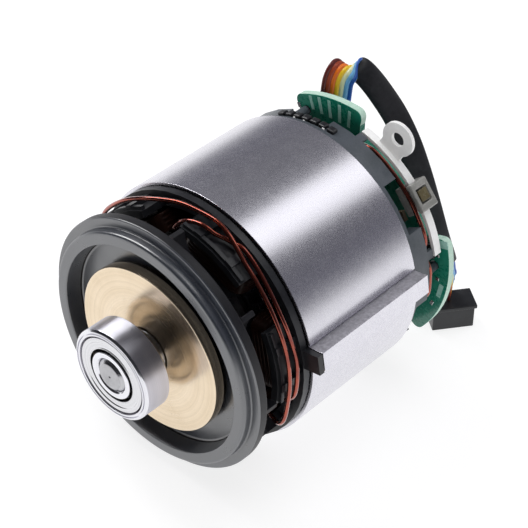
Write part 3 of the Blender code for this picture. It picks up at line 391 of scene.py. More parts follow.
def makeSpeckle():  # fine and coarse grain, as on ground sheet edges and moulded skins
    group = newGroup("speckle", [("Vector", "NodeSocketVector", None),
                                 ("Scale", "NodeSocketFloat", 4000.0),
                                 ("Coarse", "NodeSocketFloat", 150.0),
                                 ("Mix", "NodeSocketFloat", 0.4)],
                     [("Tone", "NodeSocketFloat"), ("Height", "NodeSocketFloat")])
    ins, outs = group.nodes["Group Input"], group.nodes["Group Output"]
    fine = noise1(group, ins.outputs["Vector"], ins.outputs["Scale"], 2.0, 0.6)
    coarse = noise1(group, ins.outputs["Vector"], ins.outputs["Coarse"], 4.0, 0.6)
    lean = math1(group, "MULTIPLY", coarse, ins.outputs["Mix"])
    rest = math1(group, "MULTIPLY", fine, math1(group, "SUBTRACT", 1.0, ins.outputs["Mix"]))
    group.links.new(math1(group, "ADD", lean, rest), outs.inputs["Tone"])
    group.links.new(fine, outs.inputs["Height"])
    return group


def makeTurning():  # tool marks that run round the shaft
    group = newGroup("turning", [("Vector", "NodeSocketVector", None),
                                 ("Scale", "NodeSocketFloat", 6000.0)],
                     [("Tone", "NodeSocketFloat"), ("Height", "NodeSocketFloat")])
    ins, outs = group.nodes["Group Input"], group.nodes["Group Output"]
    split = group.nodes.new("ShaderNodeSeparateXYZ")
    merge = group.nodes.new("ShaderNodeCombineXYZ")
    group.links.new(ins.outputs["Vector"], split.inputs[0])
    squares = math1(group, "ADD", math1(group, "MULTIPLY", split.outputs["X"], split.outputs["X"]),
                    math1(group, "MULTIPLY", split.outputs["Z"], split.outputs["Z"]))
    group.links.new(math1(group, "SQRT", squares), merge.inputs["X"])
    group.links.new(split.outputs["Y"], merge.inputs["Y"])
    fine = noise1(group, merge.outputs[0], ins.outputs["Scale"], 3.0, 0.7)
    broad = noise1(group, merge.outputs[0], math1(group, "MULTIPLY", ins.outputs["Scale"], 0.13),
                   2.0)
    group.links.new(math1(group, "ADD", math1(group, "MULTIPLY", fine, 0.6),
                          math1(group, "MULTIPLY", broad, 0.4)), outs.inputs["Tone"])
    group.links.new(fine, outs.inputs["Height"])
    return group


def makeHandling():  # faint smears and dust in large soft patches
    group = newGroup("handling", [("Vector", "NodeSocketVector", None),
                                  ("Scale", "NodeSocketFloat", 90.0),
                                  ("Amount", "NodeSocketFloat", 0.3)],
                     [("Mask", "NodeSocketFloat")])
    ins, outs = group.nodes["Group Input"], group.nodes["Group Output"]
    patches = noise1(group, ins.outputs["Vector"], ins.outputs["Scale"], 5.0, 0.65)
    spread = group.nodes.new("ShaderNodeMapRange")
    spread.inputs["From Min"].default_value = 0.45
    spread.inputs["From Max"].default_value = 0.75
    group.links.new(patches, spread.inputs["Value"])
    group.links.new(math1(group, "MULTIPLY", spread.outputs["Result"], ins.outputs["Amount"]),
                    outs.inputs["Mask"])
    return group


groups = {"speckle": makeSpeckle(), "turning": makeTurning(), "handling": makeHandling()}


def finish(name, colour, rough, metal=0.0, second=None, grain="speckle", scale=4000.0,
           coarse=150.0, mix=0.4, depth=0.0, roughSpan=0.08, dust=None, dustAmount=0.3,
           dustScale=90.0, **sockets):
    made = bpy.data.materials.new(name)
    made.use_nodes = True
    tree = made.node_tree
    shader = tree.nodes["Principled BSDF"]
    shader.inputs["Metallic"].default_value = metal
    for label, value in sockets.items():
        shader.inputs[label.replace("_", " ")].default_value = value
    where = tree.nodes.new("ShaderNodeTexCoord")
    marks = tree.nodes.new("ShaderNodeGroup")
    marks.node_tree = groups[grain]
    marks.inputs["Scale"].default_value = scale
    if grain == "speckle":
        marks.inputs["Coarse"].default_value = coarse
        marks.inputs["Mix"].default_value = mix
    tree.links.new(where.outputs["Object"], marks.inputs["Vector"])
    ramp = tree.nodes.new("ShaderNodeValToRGB")
    fillRamp(ramp, [(0.3, colour), (0.7, second or colour)])
    tree.links.new(marks.outputs["Tone"], ramp.inputs["Fac"])
    spread = tree.nodes.new("ShaderNodeMapRange")
    spread.inputs["From Min"].default_value = 0.3
    spread.inputs["From Max"].default_value = 0.7
    spread.inputs["To Min"].default_value = max(rough - roughSpan, 0.02)
    spread.inputs["To Max"].default_value = rough + roughSpan
    tree.links.new(marks.outputs["Tone"], spread.inputs["Value"])
    paint, sheen = ramp.outputs["Color"], spread.outputs["Result"]
    if dust:
        smear = tree.nodes.new("ShaderNodeGroup")
        smear.node_tree = groups["handling"]
        smear.inputs["Scale"].default_value = dustScale
        smear.inputs["Amount"].default_value = dustAmount
        tree.links.new(where.outputs["Object"], smear.inputs["Vector"])
        blend = tree.nodes.new("ShaderNodeMix")
        blend.data_type = "RGBA"
        tree.links.new(smear.outputs["Mask"], blend.inputs["Factor"])
        tree.links.new(paint, blend.inputs["A"])
        blend.inputs["B"].default_value = (*dust, 1.0)
        paint = blend.outputs["Result"]
        sheen = math1(tree, "ADD", sheen, math1(tree, "MULTIPLY", smear.outputs["Mask"], 0.3))
    tree.links.new(paint, shader.inputs["Base Color"])
    tree.links.new(sheen, shader.inputs["Roughness"])
    if "Anisotropic" in sockets:  # the marks run round the shaft
        along = tree.nodes.new("ShaderNodeTangent")
        along.direction_type = "RADIAL"
        along.axis = "Y"
        tree.links.new(along.outputs["Tangent"], shader.inputs["Tangent"])
    if depth:
        bump = tree.nodes.new("ShaderNodeBump")
        bump.inputs["Distance"].default_value = depth * mm
        bump.inputs["Strength"].default_value = 0.6
        tree.links.new(marks.outputs["Height"], bump.inputs["Height"])
        tree.links.new(bump.outputs["Normal"], shader.inputs["Normal"])
    return made


finishes = {
    "stackSteel": finish("stackSteel", (0.67, 0.66, 0.72), 0.27, 1.0, (0.80, 0.79, 0.84),
        scale=2300.0, coarse=420.0, mix=0.4, depth=0.0006, roughSpan=0.03),
    "keySteel": finish("keySteel", (0.34, 0.33, 0.37), 0.55, 0.6, (0.66, 0.65, 0.70),
        scale=1500.0, coarse=420.0, mix=0.3, depth=0.006, roughSpan=0.05),
    "coreSteel": finish("coreSteel", (0.30, 0.30, 0.32), 0.42, 1.0, (0.42, 0.42, 0.44),
        scale=3000.0, depth=0.01),
    "nickel": finish("nickel", (0.50, 0.50, 0.50), 0.28, 1.0, (0.60, 0.60, 0.60), depth=0.004),
    "polishedSteel": finish("polishedSteel", (0.74, 0.74, 0.78), 0.14, 1.0, (0.88, 0.88, 0.92),
        "turning", 9000.0, depth=0.004, roughSpan=0.04),
    "ringSteel": finish("ringSteel", (0.70, 0.69, 0.76), 0.42, 1.0, (0.86, 0.85, 0.92), "turning",
        9000.0, depth=0.004, roughSpan=0.03, Anisotropic=0.9, Anisotropic_Rotation=0.25),
    "groundSteel": finish("groundSteel", (0.46, 0.46, 0.48), 0.24, 1.0, (0.58, 0.58, 0.60),
        "turning", 7000.0, depth=0.002, roughSpan=0.06),
    "endSteel": finish("endSteel", (0.38, 0.38, 0.39), 0.30, 1.0, (0.54, 0.54, 0.56), "turning",
        5000.0, depth=0.002, roughSpan=0.06, dust=(0.24, 0.24, 0.25), dustAmount=0.4,
        dustScale=400.0),
    "shieldSteel": finish("shieldSteel", (0.60, 0.60, 0.62), 0.20, 1.0, (0.82, 0.82, 0.84),
        "turning", 4200.0, depth=0.0015, roughSpan=0.05),
    "brass": finish("brass", (0.74, 0.60, 0.42), 0.22, 1.0, (0.88, 0.745, 0.575), "turning",
        2600.0, depth=0.0008, roughSpan=0.04, dust=(0.55, 0.42, 0.26), dustAmount=0.22,
        dustScale=120.0),
    "aluminium": finish("aluminium", (0.40, 0.41, 0.43), 0.34, 1.0, (0.48, 0.49, 0.51), "turning",
        4500.0, depth=0.003),
    "fanPlastic": finish("fanPlastic", (0.015, 0.018, 0.026), 0.30, 0.0, (0.028, 0.033, 0.046),
        scale=3200.0, coarse=260.0, mix=0.55, depth=0.003, roughSpan=0.05,
        dust=(0.05, 0.052, 0.06), dustAmount=0.3, dustScale=120.0, IOR=1.9,
        Specular_IOR_Level=0.9),
    # fan plastic for the rim's side, back and vanes: rougher, and darker as painted shade
    "fanShadedCopy": finish("fanShadedCopy", (0.005, 0.005, 0.007), 0.46, 0.0, (0.012, 0.012, 0.015),
        scale=2800.0, coarse=260.0, mix=0.55, depth=0.003, roughSpan=0.06,
        Specular_IOR_Level=0.4),
    "blackPlastic": finish("blackPlastic", (0.006, 0.006, 0.008), 0.34, 0.0,
        (0.014, 0.015, 0.018), scale=2600.0, coarse=260.0, mix=0.5, depth=0.004, roughSpan=0.07,
        dust=(0.040, 0.042, 0.046), dustAmount=0.3, dustScale=200.0),
    "greyPlastic": finish("greyPlastic", (0.050, 0.060, 0.072), 0.36, 0.0, (0.088, 0.100, 0.118),
        scale=2600.0, coarse=200.0, mix=0.55, depth=0.004, roughSpan=0.08,
        dust=(0.020, 0.028, 0.032), dustAmount=0.7, dustScale=110.0),
    "enamel": finish("enamel", (0.15, 0.016, 0.010), 0.20, 1.0, (0.46, 0.085, 0.040), scale=500.0,
        coarse=120.0, mix=0.6, depth=0.002, roughSpan=0.05, Coat_Weight=1.0, Coat_Roughness=0.06),
    # near-black coil copper: a dark varnish, darkened further as painted shade for the shaded
    # space between fan and stator
    "varnishAndShade": finish("varnishAndShade", (0.010, 0.005, 0.004), 0.34, 0.5, (0.040, 0.013, 0.008),
        scale=700.0, coarse=150.0, mix=0.5, depth=0.004, roughSpan=0.08),
    "tin": finish("tin", (0.88, 0.88, 0.875), 0.40, 0.0, (0.96, 0.96, 0.95), scale=1500.0,
        coarse=300.0, mix=0.5, depth=0.006, roughSpan=0.08, dust=(0.70, 0.69, 0.67),
        dustAmount=0.3, dustScale=260.0),
    "nylon": finish("nylon", (0.20, 0.20, 0.185), 0.26, 0.0, (0.34, 0.335, 0.32), scale=900.0,
        coarse=320.0, mix=0.7, depth=0.003, Coat_Weight=0.5, Coat_Roughness=0.15),
    "amberNylon": finish("amberNylon", (0.085, 0.070, 0.035), 0.28, 0.0, (0.155, 0.128, 0.068),
        scale=900.0, coarse=320.0, mix=0.7, depth=0.004, Coat_Weight=0.4),
    "boardGreen": finish("boardGreen", (0.004, 0.150, 0.098), 0.28, 0.0, (0.020, 0.270, 0.175),
        scale=1400.0, coarse=240.0, mix=0.6, depth=0.003, roughSpan=0.06, Coat_Weight=0.4,
        Coat_Roughness=0.12),
    "boardEdge": finish("boardEdge", (0.40, 0.62, 0.50), 0.5, 0.0, (0.62, 0.80, 0.70),
        scale=2600.0, depth=0.01),
    "paleMask": finish("paleMask", (0.22, 0.50, 0.41), 0.30, 0.0, (0.42, 0.68, 0.60),
        scale=1800.0, coarse=600.0, mix=0.6, depth=0.004, Coat_Weight=0.4, Coat_Roughness=0.12),
    "solder": finish("solder", (0.66, 0.67, 0.66), 0.24, 1.0, (0.80, 0.81, 0.80), scale=1800.0,
        depth=0.006),
    "chipBlack": finish("chipBlack", (0.012, 0.012, 0.013), 0.42, 0.0, (0.022, 0.022, 0.024),
        scale=5000.0, depth=0.004),
    "ceramicTan": finish("ceramicTan", (0.10, 0.075, 0.05), 0.45, 0.0, (0.16, 0.12, 0.08),
        depth=0.004),
    "sleeveBlack": finish("sleeveBlack", (0.009, 0.009, 0.011), 0.50, 0.0, (0.022, 0.022, 0.026),
        scale=1600.0, coarse=260.0, depth=0.010, roughSpan=0.08),
}


# rotor

bearingSet = {"outer": 9.5, "bore": 3.5, "width": 6.0, "front": 0.25, "rear": 67.6, "lip": 8.25,
              "chamfer": 0.42, "groove": 8.62, "grooveWide": 0.24, "grooveDeep": 0.3,
              "shieldOut": 7.88, "shieldStep": 7.05, "shieldIn": 5.55, "shieldDeep": 1.1,
              "shieldFace": 0.14, "shieldDish": 0.34, "shieldSlope": 0.2, "curl": 0.04,
              "curlStart": 0.32, "curlTop": 0.14, "innerOut": 4.90, "innerEase": 0.10,
              "innerStep": 0.12, "boreDeep": 0.42, "boreWide": 0.30, "wallTilt": 0.2}


def makeBearing(side):
    s = bearingSet
    start = s[side]
    end = start + s["width"]
    outer, lip, cut, deep = s["outer"], s["lip"], s["chamfer"], s["shieldDeep"]
    near, far, foot = s["groove"], s["groove"] + s["grooveWide"], s["grooveDeep"]
    ring = eased([(lip, start, 0.06), (near, start, 0), (near, start + foot, 0),
                  (far, start + foot, 0), (far, start, 0),
                  (outer - cut, start, 0.10), (outer, start + cut, 0.10),
                  (outer, end - cut, 0.10), (outer - cut, end, 0.10), (lip, end, 0.06),
                  (lip, end - deep, 0), (lip, start + deep, 0)])
    piece = place(smooth(turned(side + "OuterRing", ring, 144)), side + "_outer_race",
                  finishes["polishedSteel"], side + "_bearing_outer")
    alsoFinish(piece, finishes["ringSteel"], lambda spot, way: abs(way.y) < s["wallTilt"])
    for name, face, way in (("front", start, 1), ("rear", end, -1)):
        low, dish = face + way * deep, face + way * s["shieldDish"]
        high = face + way * s["shieldFace"]
        top, rim, hole = high + way * s["curl"], s["shieldOut"], s["shieldIn"]
        shield = eased([(rim, low, 0), (rim, high, 0.14), (s["shieldStep"], high, 0.1),
                        (s["shieldStep"] - s["shieldSlope"], dish, 0.1),
                        (hole + s["curlStart"], dish, 0.1), (hole + s["curlTop"], top, 0.08),
                        (hole, top, 0.08), (hole, low, 0)])
        place(smooth(turned(f"{side}{name.title()}Shield", shield, 128)), side + "_outer_race",
              finishes["shieldSteel"], f"{side}_bearing_{name}_shield")
    inner, bore, lead = s["innerOut"], s["bore"], s["bore"] + s["boreWide"]
    flat, drop = inner - s["innerEase"], s["innerStep"]
    race = eased([(bore, start + s["boreDeep"], 0.06), (lead, start, 0.08), (flat, start, 0.06),
                  (inner, start + drop, 0.05), (inner, end - drop, 0.05), (flat, end, 0.06),
                  (lead, end, 0.08), (bore, end - s["boreDeep"], 0.06)])
    place(smooth(turned(side + "InnerRing", race, 112)), "rotor", finishes["polishedSteel"],
          side + "_bearing_inner")
    place(refined(side + "_bearing_cage", side + "Cage", 0), side + "_ball_cage",
          finishes["endSteel"], side + "_bearing_cage")


shaftSet = {"seat": 3.42, "tail": 3.2, "shoulder": 4.6, "body": 4.7, "length": 79.5,
            "frontSeat": 6.55, "bodyStart": 9.4, "bodyEnd": 58.9, "rearSeat": 67.3,
            "chamfer": 0.75, "dimple": 0.3, "dimpleDeep": 0.14, "dimpleFoot": 0.7,
            "flatDepth": 0.5, "flatLength": 4.5, "endDepth": 0.2}


def makeShaft():
    s = shaftSet
    c, foot, deep = s["chamfer"], s["dimple"] * s["dimpleFoot"], s["dimpleDeep"]
    profile = [(0.0, deep, 0), (foot, deep, 0), (s["dimple"], 0.0, 0.05),
               (s["seat"] - c, 0.0, 0.1), (s["seat"], c, 0.12), (s["seat"], s["frontSeat"], 0),
               (s["shoulder"], s["frontSeat"], 0.12), (s["shoulder"], s["bodyStart"], 0),
               (s["body"], s["bodyStart"], 0.05), (s["body"], s["bodyEnd"], 0.05),
               (s["shoulder"], s["bodyEnd"], 0), (s["shoulder"], s["rearSeat"], 0.12),
               (s["tail"], s["rearSeat"], 0), (s["tail"], s["length"] - c, 0.12),
               (s["tail"] - c, s["length"], 0.1), (s["dimple"], s["length"], 0.05),
               (foot, s["length"] - deep, 0), (0.0, s["length"] - deep, 0)]
    piece = turned("motorShaft", eased(profile), 96)
    flat = s["tail"] - s["flatDepth"]
    combine(piece, block("flatCut", (flat + 2, s["length"] - s["flatLength"] / 2 + 0.5, 0),
                         (4, s["flatLength"] + 1, 12)), "DIFFERENCE")
    place(smooth(piece), "rotor", finishes["groundSteel"], "shaft")
    alsoFinish(piece, finishes["endSteel"], lambda spot, way:
               not s["endDepth"] <= spot.y <= s["length"] - s["endDepth"])


discSet = {"radius": 17.35, "bore": 5.0, "front": 9.7, "thick": 2.2}


def makeDisc():
    s = discSet
    r, front, end = s["radius"], s["front"], s["front"] + s["thick"]
    profile = eased([(s["bore"], front, 0.15), (r, front, 0.26), (r, end, 0.2),
                     (s["bore"], end, 0.15)])
    place(smooth(turned("brassDisc", profile, 160)), "rotor", finishes["brass"],
          "front_balance_disc")


fanSet = {"rim": 26.55, "rimFront": 11.4, "rimBack": 13.5, "ridgeFront": 9.4,
          "ridgeWall": 24.55, "ridgeIn": 22.0, "floor": 13.2, "floorOut": 21.55, "well": 16.6,
          "wellFloor": 15.4, "hub": 8.0, "hubFront": 12.2, "bore": 5.05, "hubEnd": 19.6,
          "skin": 1.6, "backLip": 0.8, "vanes": 8, "vaneFirst": 84.0, "vaneSweep": 14.0,
          "vaneIn": 18.4, "vaneOut": 25.5, "vaneRoot": 0.9, "vaneEnd": 17.3, "vaneThick": 1.1,
          "vaneEase": 0.15, "vaneSteps": 8, "shadedCopyFrom": 0.25}


def makeFan():
    s = fanSet
    skin = s["skin"]
    profile = eased([
        (s["rim"], s["rimFront"], 0.38), (s["ridgeWall"], s["rimFront"], 0.35),
        (s["ridgeWall"], s["ridgeFront"], 0.75), (s["ridgeIn"], s["ridgeFront"], 0.30),
        (s["floorOut"], s["floor"], 0.5), (s["well"], s["floor"], 0.2),
        (s["well"], s["wellFloor"], 0.2), (s["hub"], s["wellFloor"], 0.2),
        (s["hub"], s["hubFront"], 0.15), (s["bore"], s["hubFront"], 0),
        (s["bore"], s["hubEnd"], 0), (s["hub"], s["hubEnd"], 0.2),
        (s["hub"], s["wellFloor"] + skin, 0.3), (s["well"] + skin, s["wellFloor"] + skin, 0.8),
        (s["well"] + 2 * skin, s["floor"] + skin, 0.4),
        (s["ridgeWall"] - skin, s["floor"] + skin, 0.6),
        (s["ridgeWall"] - s["backLip"], s["rimBack"], 0.3), (s["rim"], s["rimBack"], 0.35)], 5)
    disc = turned("fanDisc", profile, 180)
    vanes = []
    for i in range(s["vanes"]):
        middle = s["vaneFirst"] + 360.0 * i / s["vanes"]
        edges = []
        for side in (0.5, -0.5):
            row = []
            for k in range(s["vaneSteps"] + 1):
                share = k / s["vaneSteps"]
                radius = s["vaneIn"] + (s["vaneOut"] - s["vaneIn"]) * share
                angle = middle - s["vaneSweep"] * (1 - share) ** 2
                angle += math.degrees(s["vaneThick"] * side / radius)
                row.append(arc(radius, angle, angle, 1)[0])
            edges.append(row)
        vane = slab("vane", edges[0] + edges[1][::-1], s["floor"] + s["vaneRoot"], s["vaneEnd"])
        vanes.append(bevelled(vane, s["vaneEase"]))
    piece = smooth(joined("fanWheel", [disc, *vanes]))
    place(piece, "rotor", finishes["fanPlastic"], "fan")
    # the rim's side, the back and the vanes get a rougher, darker copy of the fan plastic; the
    # darker colour is painted shade
    alsoFinish(piece, finishes["fanShadedCopy"], lambda spot, way:
               spot.y > s["rimFront"] + s["shadedCopyFrom"] and way.y > -0.5)


def makeRotorInside():
    inside = [("rotor_core", "rotorCore", 0.08, "coreSteel"),
              ("front_end_plate", "frontEndPlate", 0.1, "aluminium"),
              ("rear_balance_ring", "rearBrassRing", 0.12, "brass")]
    inside[1:1] = [(f"magnet_{i}", f"barMagnet{i}", 0.15, "nickel") for i in range(1, 5)]
    for node, name, ease, coat in inside:
        place(refined(node, name, ease), "rotor", finishes[coat], node)
    print("rotor made")


# stator

stackSet = {"radius": 27.0, "front": 25.1, "rear": 55.1, "bore": 14.5, "yoke": 23.0, "tooth": 6.6,
            "tip": 1.7, "tipSlope": 1.7, "opening": 2.4, "keyAngle": 9.5, "keyWidth": 4.0,
            "keyTop": 30.0, "teeth": 6, "reliefWide": 0.34, "reliefDeep": 0.36, "cutPast": 1,
            "slotSteps": 8, "edgeEase": 0.10}


def slotOutline(angle):
    s = stackSet
    side = [(s["bore"] - 2, 0), (s["bore"] + s["tip"], 0),
            (s["bore"] + s["tipSlope"] * s["tip"], 1), (s["yoke"], 1)]
    middle, steps, half = 180 / s["teeth"], s["slotSteps"], []
    for radius, wide in side:
        if wide:
            half.append((radius, middle - math.degrees(math.asin(s["tooth"] / 2 / radius))))
        else:
            half.append((radius, math.degrees(math.asin(s["opening"] / 2 / radius))))
    last = half[-1][1]
    across = [(s["yoke"], last * (1 - i / steps)) for i in range(1, 2 * steps)]
    ring = half + across + [(radius, -turn) for radius, turn in half[::-1]]
    return [arc(radius, angle + turn, 0, 1)[0] for radius, turn in ring]


def makeStack():
    s = stackSet
    outline = []
    edge = math.degrees(math.asin(s["keyWidth"] / 2 / s["radius"]))
    gap = edge + math.degrees(s["reliefWide"] / s["radius"])
    foot = s["radius"] - s["reliefDeep"]
    top = math.degrees(math.asin(s["keyWidth"] / 2 / s["keyTop"]))
    for turn in (s["keyAngle"], s["keyAngle"] + 180):
        outline += [arc(foot, turn - gap, 0, 1)[0], arc(foot, turn - edge, 0, 1)[0]]
        outline += [arc(s["keyTop"], turn - top, 0, 1)[0], arc(s["keyTop"], turn + top, 0, 1)[0]]
        outline += [arc(foot, turn + edge, 0, 1)[0], arc(foot, turn + gap, 0, 1)[0]]
        outline += arc(s["radius"], turn + gap, turn + 180 - gap, 170)
    piece = slab("steelStack", outline, s["front"], s["rear"])
    start, end, pitch = s["front"] - s["cutPast"], s["rear"] + s["cutPast"], 360 / s["teeth"]
    combine(piece, slab("boreCut", arc(s["bore"], 0, 357, 119), start, end), "DIFFERENCE")
    for i in range(s["teeth"]):
        outline = slotOutline(s["keyAngle"] + pitch / 2 + pitch * i)
        combine(piece, slab("slotCut", outline, start, end), "DIFFERENCE")
    bevelled(piece, s["edgeEase"], 2, 40)
    place(smooth(piece, 30), "stator", finishes["stackSteel"], "stator_core")
    # the key's flanks are rougher than the ground outside
    alsoFinish(piece, finishes["keySteel"], lambda spot, way: abs(way.y) < 0.3
               and math.hypot(spot.x, spot.z) > s["radius"] + 0.1
               and abs(way.dot(Vector((spot.x, 0, spot.z)).normalized())) < 0.3)
    print("stack made")


def makeInsulators():
    place(refined("front_insulator", "frontInsulator", 0.1), "stator", finishes["blackPlastic"],
          "front_insulator")
    place(refined("rear_insulator", "rearInsulator", 0.1), "stator", finishes["greyPlastic"],
          "rear_insulator")
    print("insulators made")


coilSet = {"wire": 0.9, "inner": 17.5, "outer": 21.3, "half": 7.8, "ends": 20.5, "corner": 2.6,
           "tightest": 0.8, "middle": 40.1, "turns": 4, "sideTurns": 3, "nest": 0.87,
           "pack": 0.98, "coreShrink": 0.22}


def racetrack(half, length, corner, steps=6):
    line = []
    for quarter, (across, along) in enumerate(((1, 1), (-1, 1), (-1, -1), (1, -1))):
        for i in range(steps + 1):
            turn = math.pi / 2 * (quarter + i / steps)
            line.append((across * (half - corner) + corner * math.cos(turn),
                         along * (length - corner) + corner * math.sin(turn)))
    return line


def makeCoils():
    s = coilSet
    d = s["wire"]
    for i in range(6):
        angle = stackSet["keyAngle"] + 60 * i
        spin = Matrix.Rotation(math.radians(-angle), 3, "Y")
        turns = []
        loops = [(s["outer"] - d * (k + 0.5), 0.0) for k in range(s["turns"])]
        for radius in (s["outer"] - d / 2, s["inner"] + d / 2):
            loops += [(radius, d * s["nest"] * (k + 1)) for k in range(s["sideTurns"])]
        for radius, inwards in loops:
            track = racetrack(s["half"] - d / 2 - inwards, s["ends"] - d / 2 - inwards,
                              max(s["corner"] - inwards, s["tightest"]))
            line = [spin @ Vector((radius, s["middle"] + along, across))
                    for across, along in track]
            turns.append(wire("turn", line, d * s["pack"], True, 2))
        core = refined(f"coil_{i + 1}", "coilCore", 0)
        finishWith(core, "DISPLACE", strength=-s["coreShrink"] * mm, mid_level=0.0)
        # the coils take the near-black copper, partly dark varnish and partly painted shade
        place(smooth(joined(f"coil{i + 1}", turns + [core]), 50), "stator", finishes["varnishAndShade"],
              f"coil_{i + 1}")
    print("coils made")


linkSet = {
    "diameter": 0.9,
    "frontLinkA": [(21.8, 160, 21.0), (24.45, 154, 20.4), (25.85, 148, 20.0), (26.25, 140, 19.7),
                   (26.25, 128, 19.5), (26.25, 118, 19.7), (26.25, 107, 20.4), (26.25, 96, 21.7),
                   (26.25, 86, 22.3), (26.75, 77, 22.4), (26.95, 70, 21.9), (26.75, 64, 21.3),
                   (26.25, 57, 20.8), (26.25, 48, 20.4), (26.25, 34, 20.0), (26.25, 18, 19.9),
                   (26.25, 4, 19.6), (26.25, -9, 19.3), (26.55, -17, 18.8), (25.35, -22, 19.2),
                   (21.8, -25, 20.4)],
    "frontLinkB": [(21.8, 96, 19.8), (24.35, 90, 19.7), (25.75, 84, 19.9), (26.25, 78.5, 20.2),
                   (25.7, 74, 20.8), (25.6, 70, 21.6), (25.7, 66, 22.2), (26.25, 62, 22.5),
                   (26.25, 54, 22.3), (26.25, 44, 21.8), (26.25, 34, 21.5), (26.25, 24, 21.6),
                   (26.25, 12, 21.9), (26.25, 4, 21.6), (26.25, -2, 21.3), (25.85, -7, 21.2),
                   (24.25, -12, 21.4), (21.8, -16.5, 21.8)],
    "rearLinkA": [(21.8, 98, 59.75), (24.05, 92, 60.55), (24.65, 85, 60.75), (24.65, 74, 60.75),
                  (25.75, 66, 60.75), (25.75, 54, 60.75), (25.75, 40, 60.75), (25.75, 26, 60.75),
                  (25.55, 20, 60.75), (24.65, 14, 60.75), (25.65, 7, 60.75), (25.75, 2, 60.75),
                  (25.75, -7, 60.75), (24.35, -13, 60.55), (21.8, -19, 59.75)],
    "rearLinkB": [(21.8, 161, 59.75), (24.05, 167, 60.55), (24.65, 174, 60.75),
                  (24.65, 184, 60.75), (24.65, 195, 60.75), (24.65, 206, 60.75),
                  (24.05, 212, 60.55), (21.8, 218, 59.75)],
}


def makeLinks():
    for name, node in (("frontLinkA", "front_link_wire_1"), ("frontLinkB", "front_link_wire_2"),
                       ("rearLinkA", "rear_link_wire_1"), ("rearLinkB", "rear_link_wire_2")):
        line = smoothLine([around(*spot) for spot in linkSet[name]], 90)
        place(wire(name, line, linkSet["diameter"]), "stator", finishes["enamel"], node)
    print("link wires made")


# lugs and clip

lugSet = {"stripIn": 25.6, "stripOut": 26.4, "stripFront": 61.9, "stripRear": 63.7, "thick": 0.8,
          "centre": 30.3, "head": 3.6, "hole": 1.45, "neck": 2.7, "overlap": 0.2, "cutPast": 2,
          "headSteps": 40, "ease": 0.12,
          "clipRadius": 25.6, "clipAngle": 39.5, "clipAlong": 64.3, "clipGrow": 1.06,
          "clipInwards": 0.99,
          "all": ((62.0, 12.0, 76.0), (180.0, 172.0, 190.0), (216.0, 198.0, 237.0))}


def makeLugs():
    s = lugSet
    for i, (angle, first, last) in enumerate(s["all"]):
        steps = max(6, round((last - first) / 2))
        outline = arc(s["stripOut"], first, last, steps) + arc(s["stripIn"], last, first, steps)
        strip = slab("strip", outline, s["stripFront"], s["stripRear"])
        meet = math.degrees(math.asin(s["neck"] / s["head"]))
        root = s["stripIn"] + s["overlap"]
        ring = arc(s["head"], meet - 180, 180 - meet, s["headSteps"])
        head = [(root, -s["neck"]), *((s["centre"] + x, z) for x, z in ring), (root, s["neck"])]
        lug = slab("lug", head, s["stripRear"] - s["thick"], s["stripRear"])
        lug.data.transform(Matrix.Rotation(math.radians(-angle), 4, "Y"))
        combine(strip, lug, "UNION")
        hole = slab("holeCut", [(s["centre"] + x, z) for x, z in arc(s["hole"], 0, 350, 35)],
                    s["stripRear"] - s["cutPast"], s["stripRear"] + s["cutPast"])
        hole.data.transform(Matrix.Rotation(math.radians(-angle), 4, "Y"))
        combine(strip, hole, "DIFFERENCE")
        bevelled(strip, s["ease"])
        strip.name = strip.data.name = f"phaseLug{i + 1}"
        place(smooth(strip, 40), "stator", finishes["tin"], f"phase_lug_{i + 1}")
    centre = around(s["clipRadius"], s["clipAngle"], s["clipAlong"]) * mm
    grow = (Matrix.Translation(centre * s["clipInwards"]) @ Matrix.Scale(s["clipGrow"], 4)
            @ Matrix.Translation(-centre))
    for node, name, ease, coat in (("lead_clip", "nylonClip", 0.3, "nylon"),
                                   ("lead_clip_insert", "clipInsert", 0.12, "amberNylon")):
        piece = refined(node, name, ease, 3)
        piece.data.transform(grow)
        place(piece, "stator", finishes[coat], node)
    print("lugs and clip made")


# sensor board

boardSet = {"front": 64.5, "rear": 66.1, "body": 21.5, "ear": 27.5, "bore": 8.5,
            "ears": ((81.0, 118.5), (-40.0, 17.0), (224.0, 262.0)), "earDrop": 2.9,
            "earRound": 1.6, "earTurn": 3.4, "earFlat": 4.4, "footNear": 1.2, "footFar": 2,
            "footRest": 3.2, "edgeBand": 3, "ease": 0.07, "cutPast": 1,
            "postAngles": (114.0, 2.0, 238.0), "postRadius": 24.0, "hole": 0.95,
            "stripes": [(25.7, 109.5, (3.0, 0.12, 0.75)), (25.3, 104.5, (3.6, 0.12, 0.75)),
                        (25.0, 99.0, (3.9, 0.12, 0.75)), (24.8, 93.2, (4.0, 0.12, 0.75)),
                        (24.6, 87.6, (3.8, 0.12, 0.7)), (26.4, 14.6, (2.4, 0.12, 1.7)),
                        (26.2, -10.5, (1.0, 0.12, 3.4))],
            "pads": [(25.2, 118.0, (1.1, 0.16, 0.8)), (25.0, -5.0, (0.8, 0.16, 0.8)),
                     (25.6, -20.0, (0.7, 0.16, 1.2)), (24.8, 8.0, (0.7, 0.16, 0.7))],
            "lacing": [(26.0, 84.0 + 4.6 * i, (1.9, 1.6, 1.7)) for i in range(7)],
            "lacingAlong": 57.4,
            "dots": [(26.3, 103.4, (0.55, 0.3, 0.55)), (26.2, 98.0, (0.55, 0.3, 0.55)),
                     (26.4, 87.3, (0.55, 0.3, 0.55))], "dotsAlong": 56.55,
            "markSteps": {"tinPads": 1, "slotLacing": 2, "lacingDots": 2}}


def earCorner(angle, turn, way):  # a point on the round corner at an end of an ear
    s = boardSet
    radius = s["ear"] - s["earRound"] * (1 - math.sin(turn))
    return arc(radius, angle + way * s["earTurn"] * (1 - math.cos(turn)), 0, 1)[0]


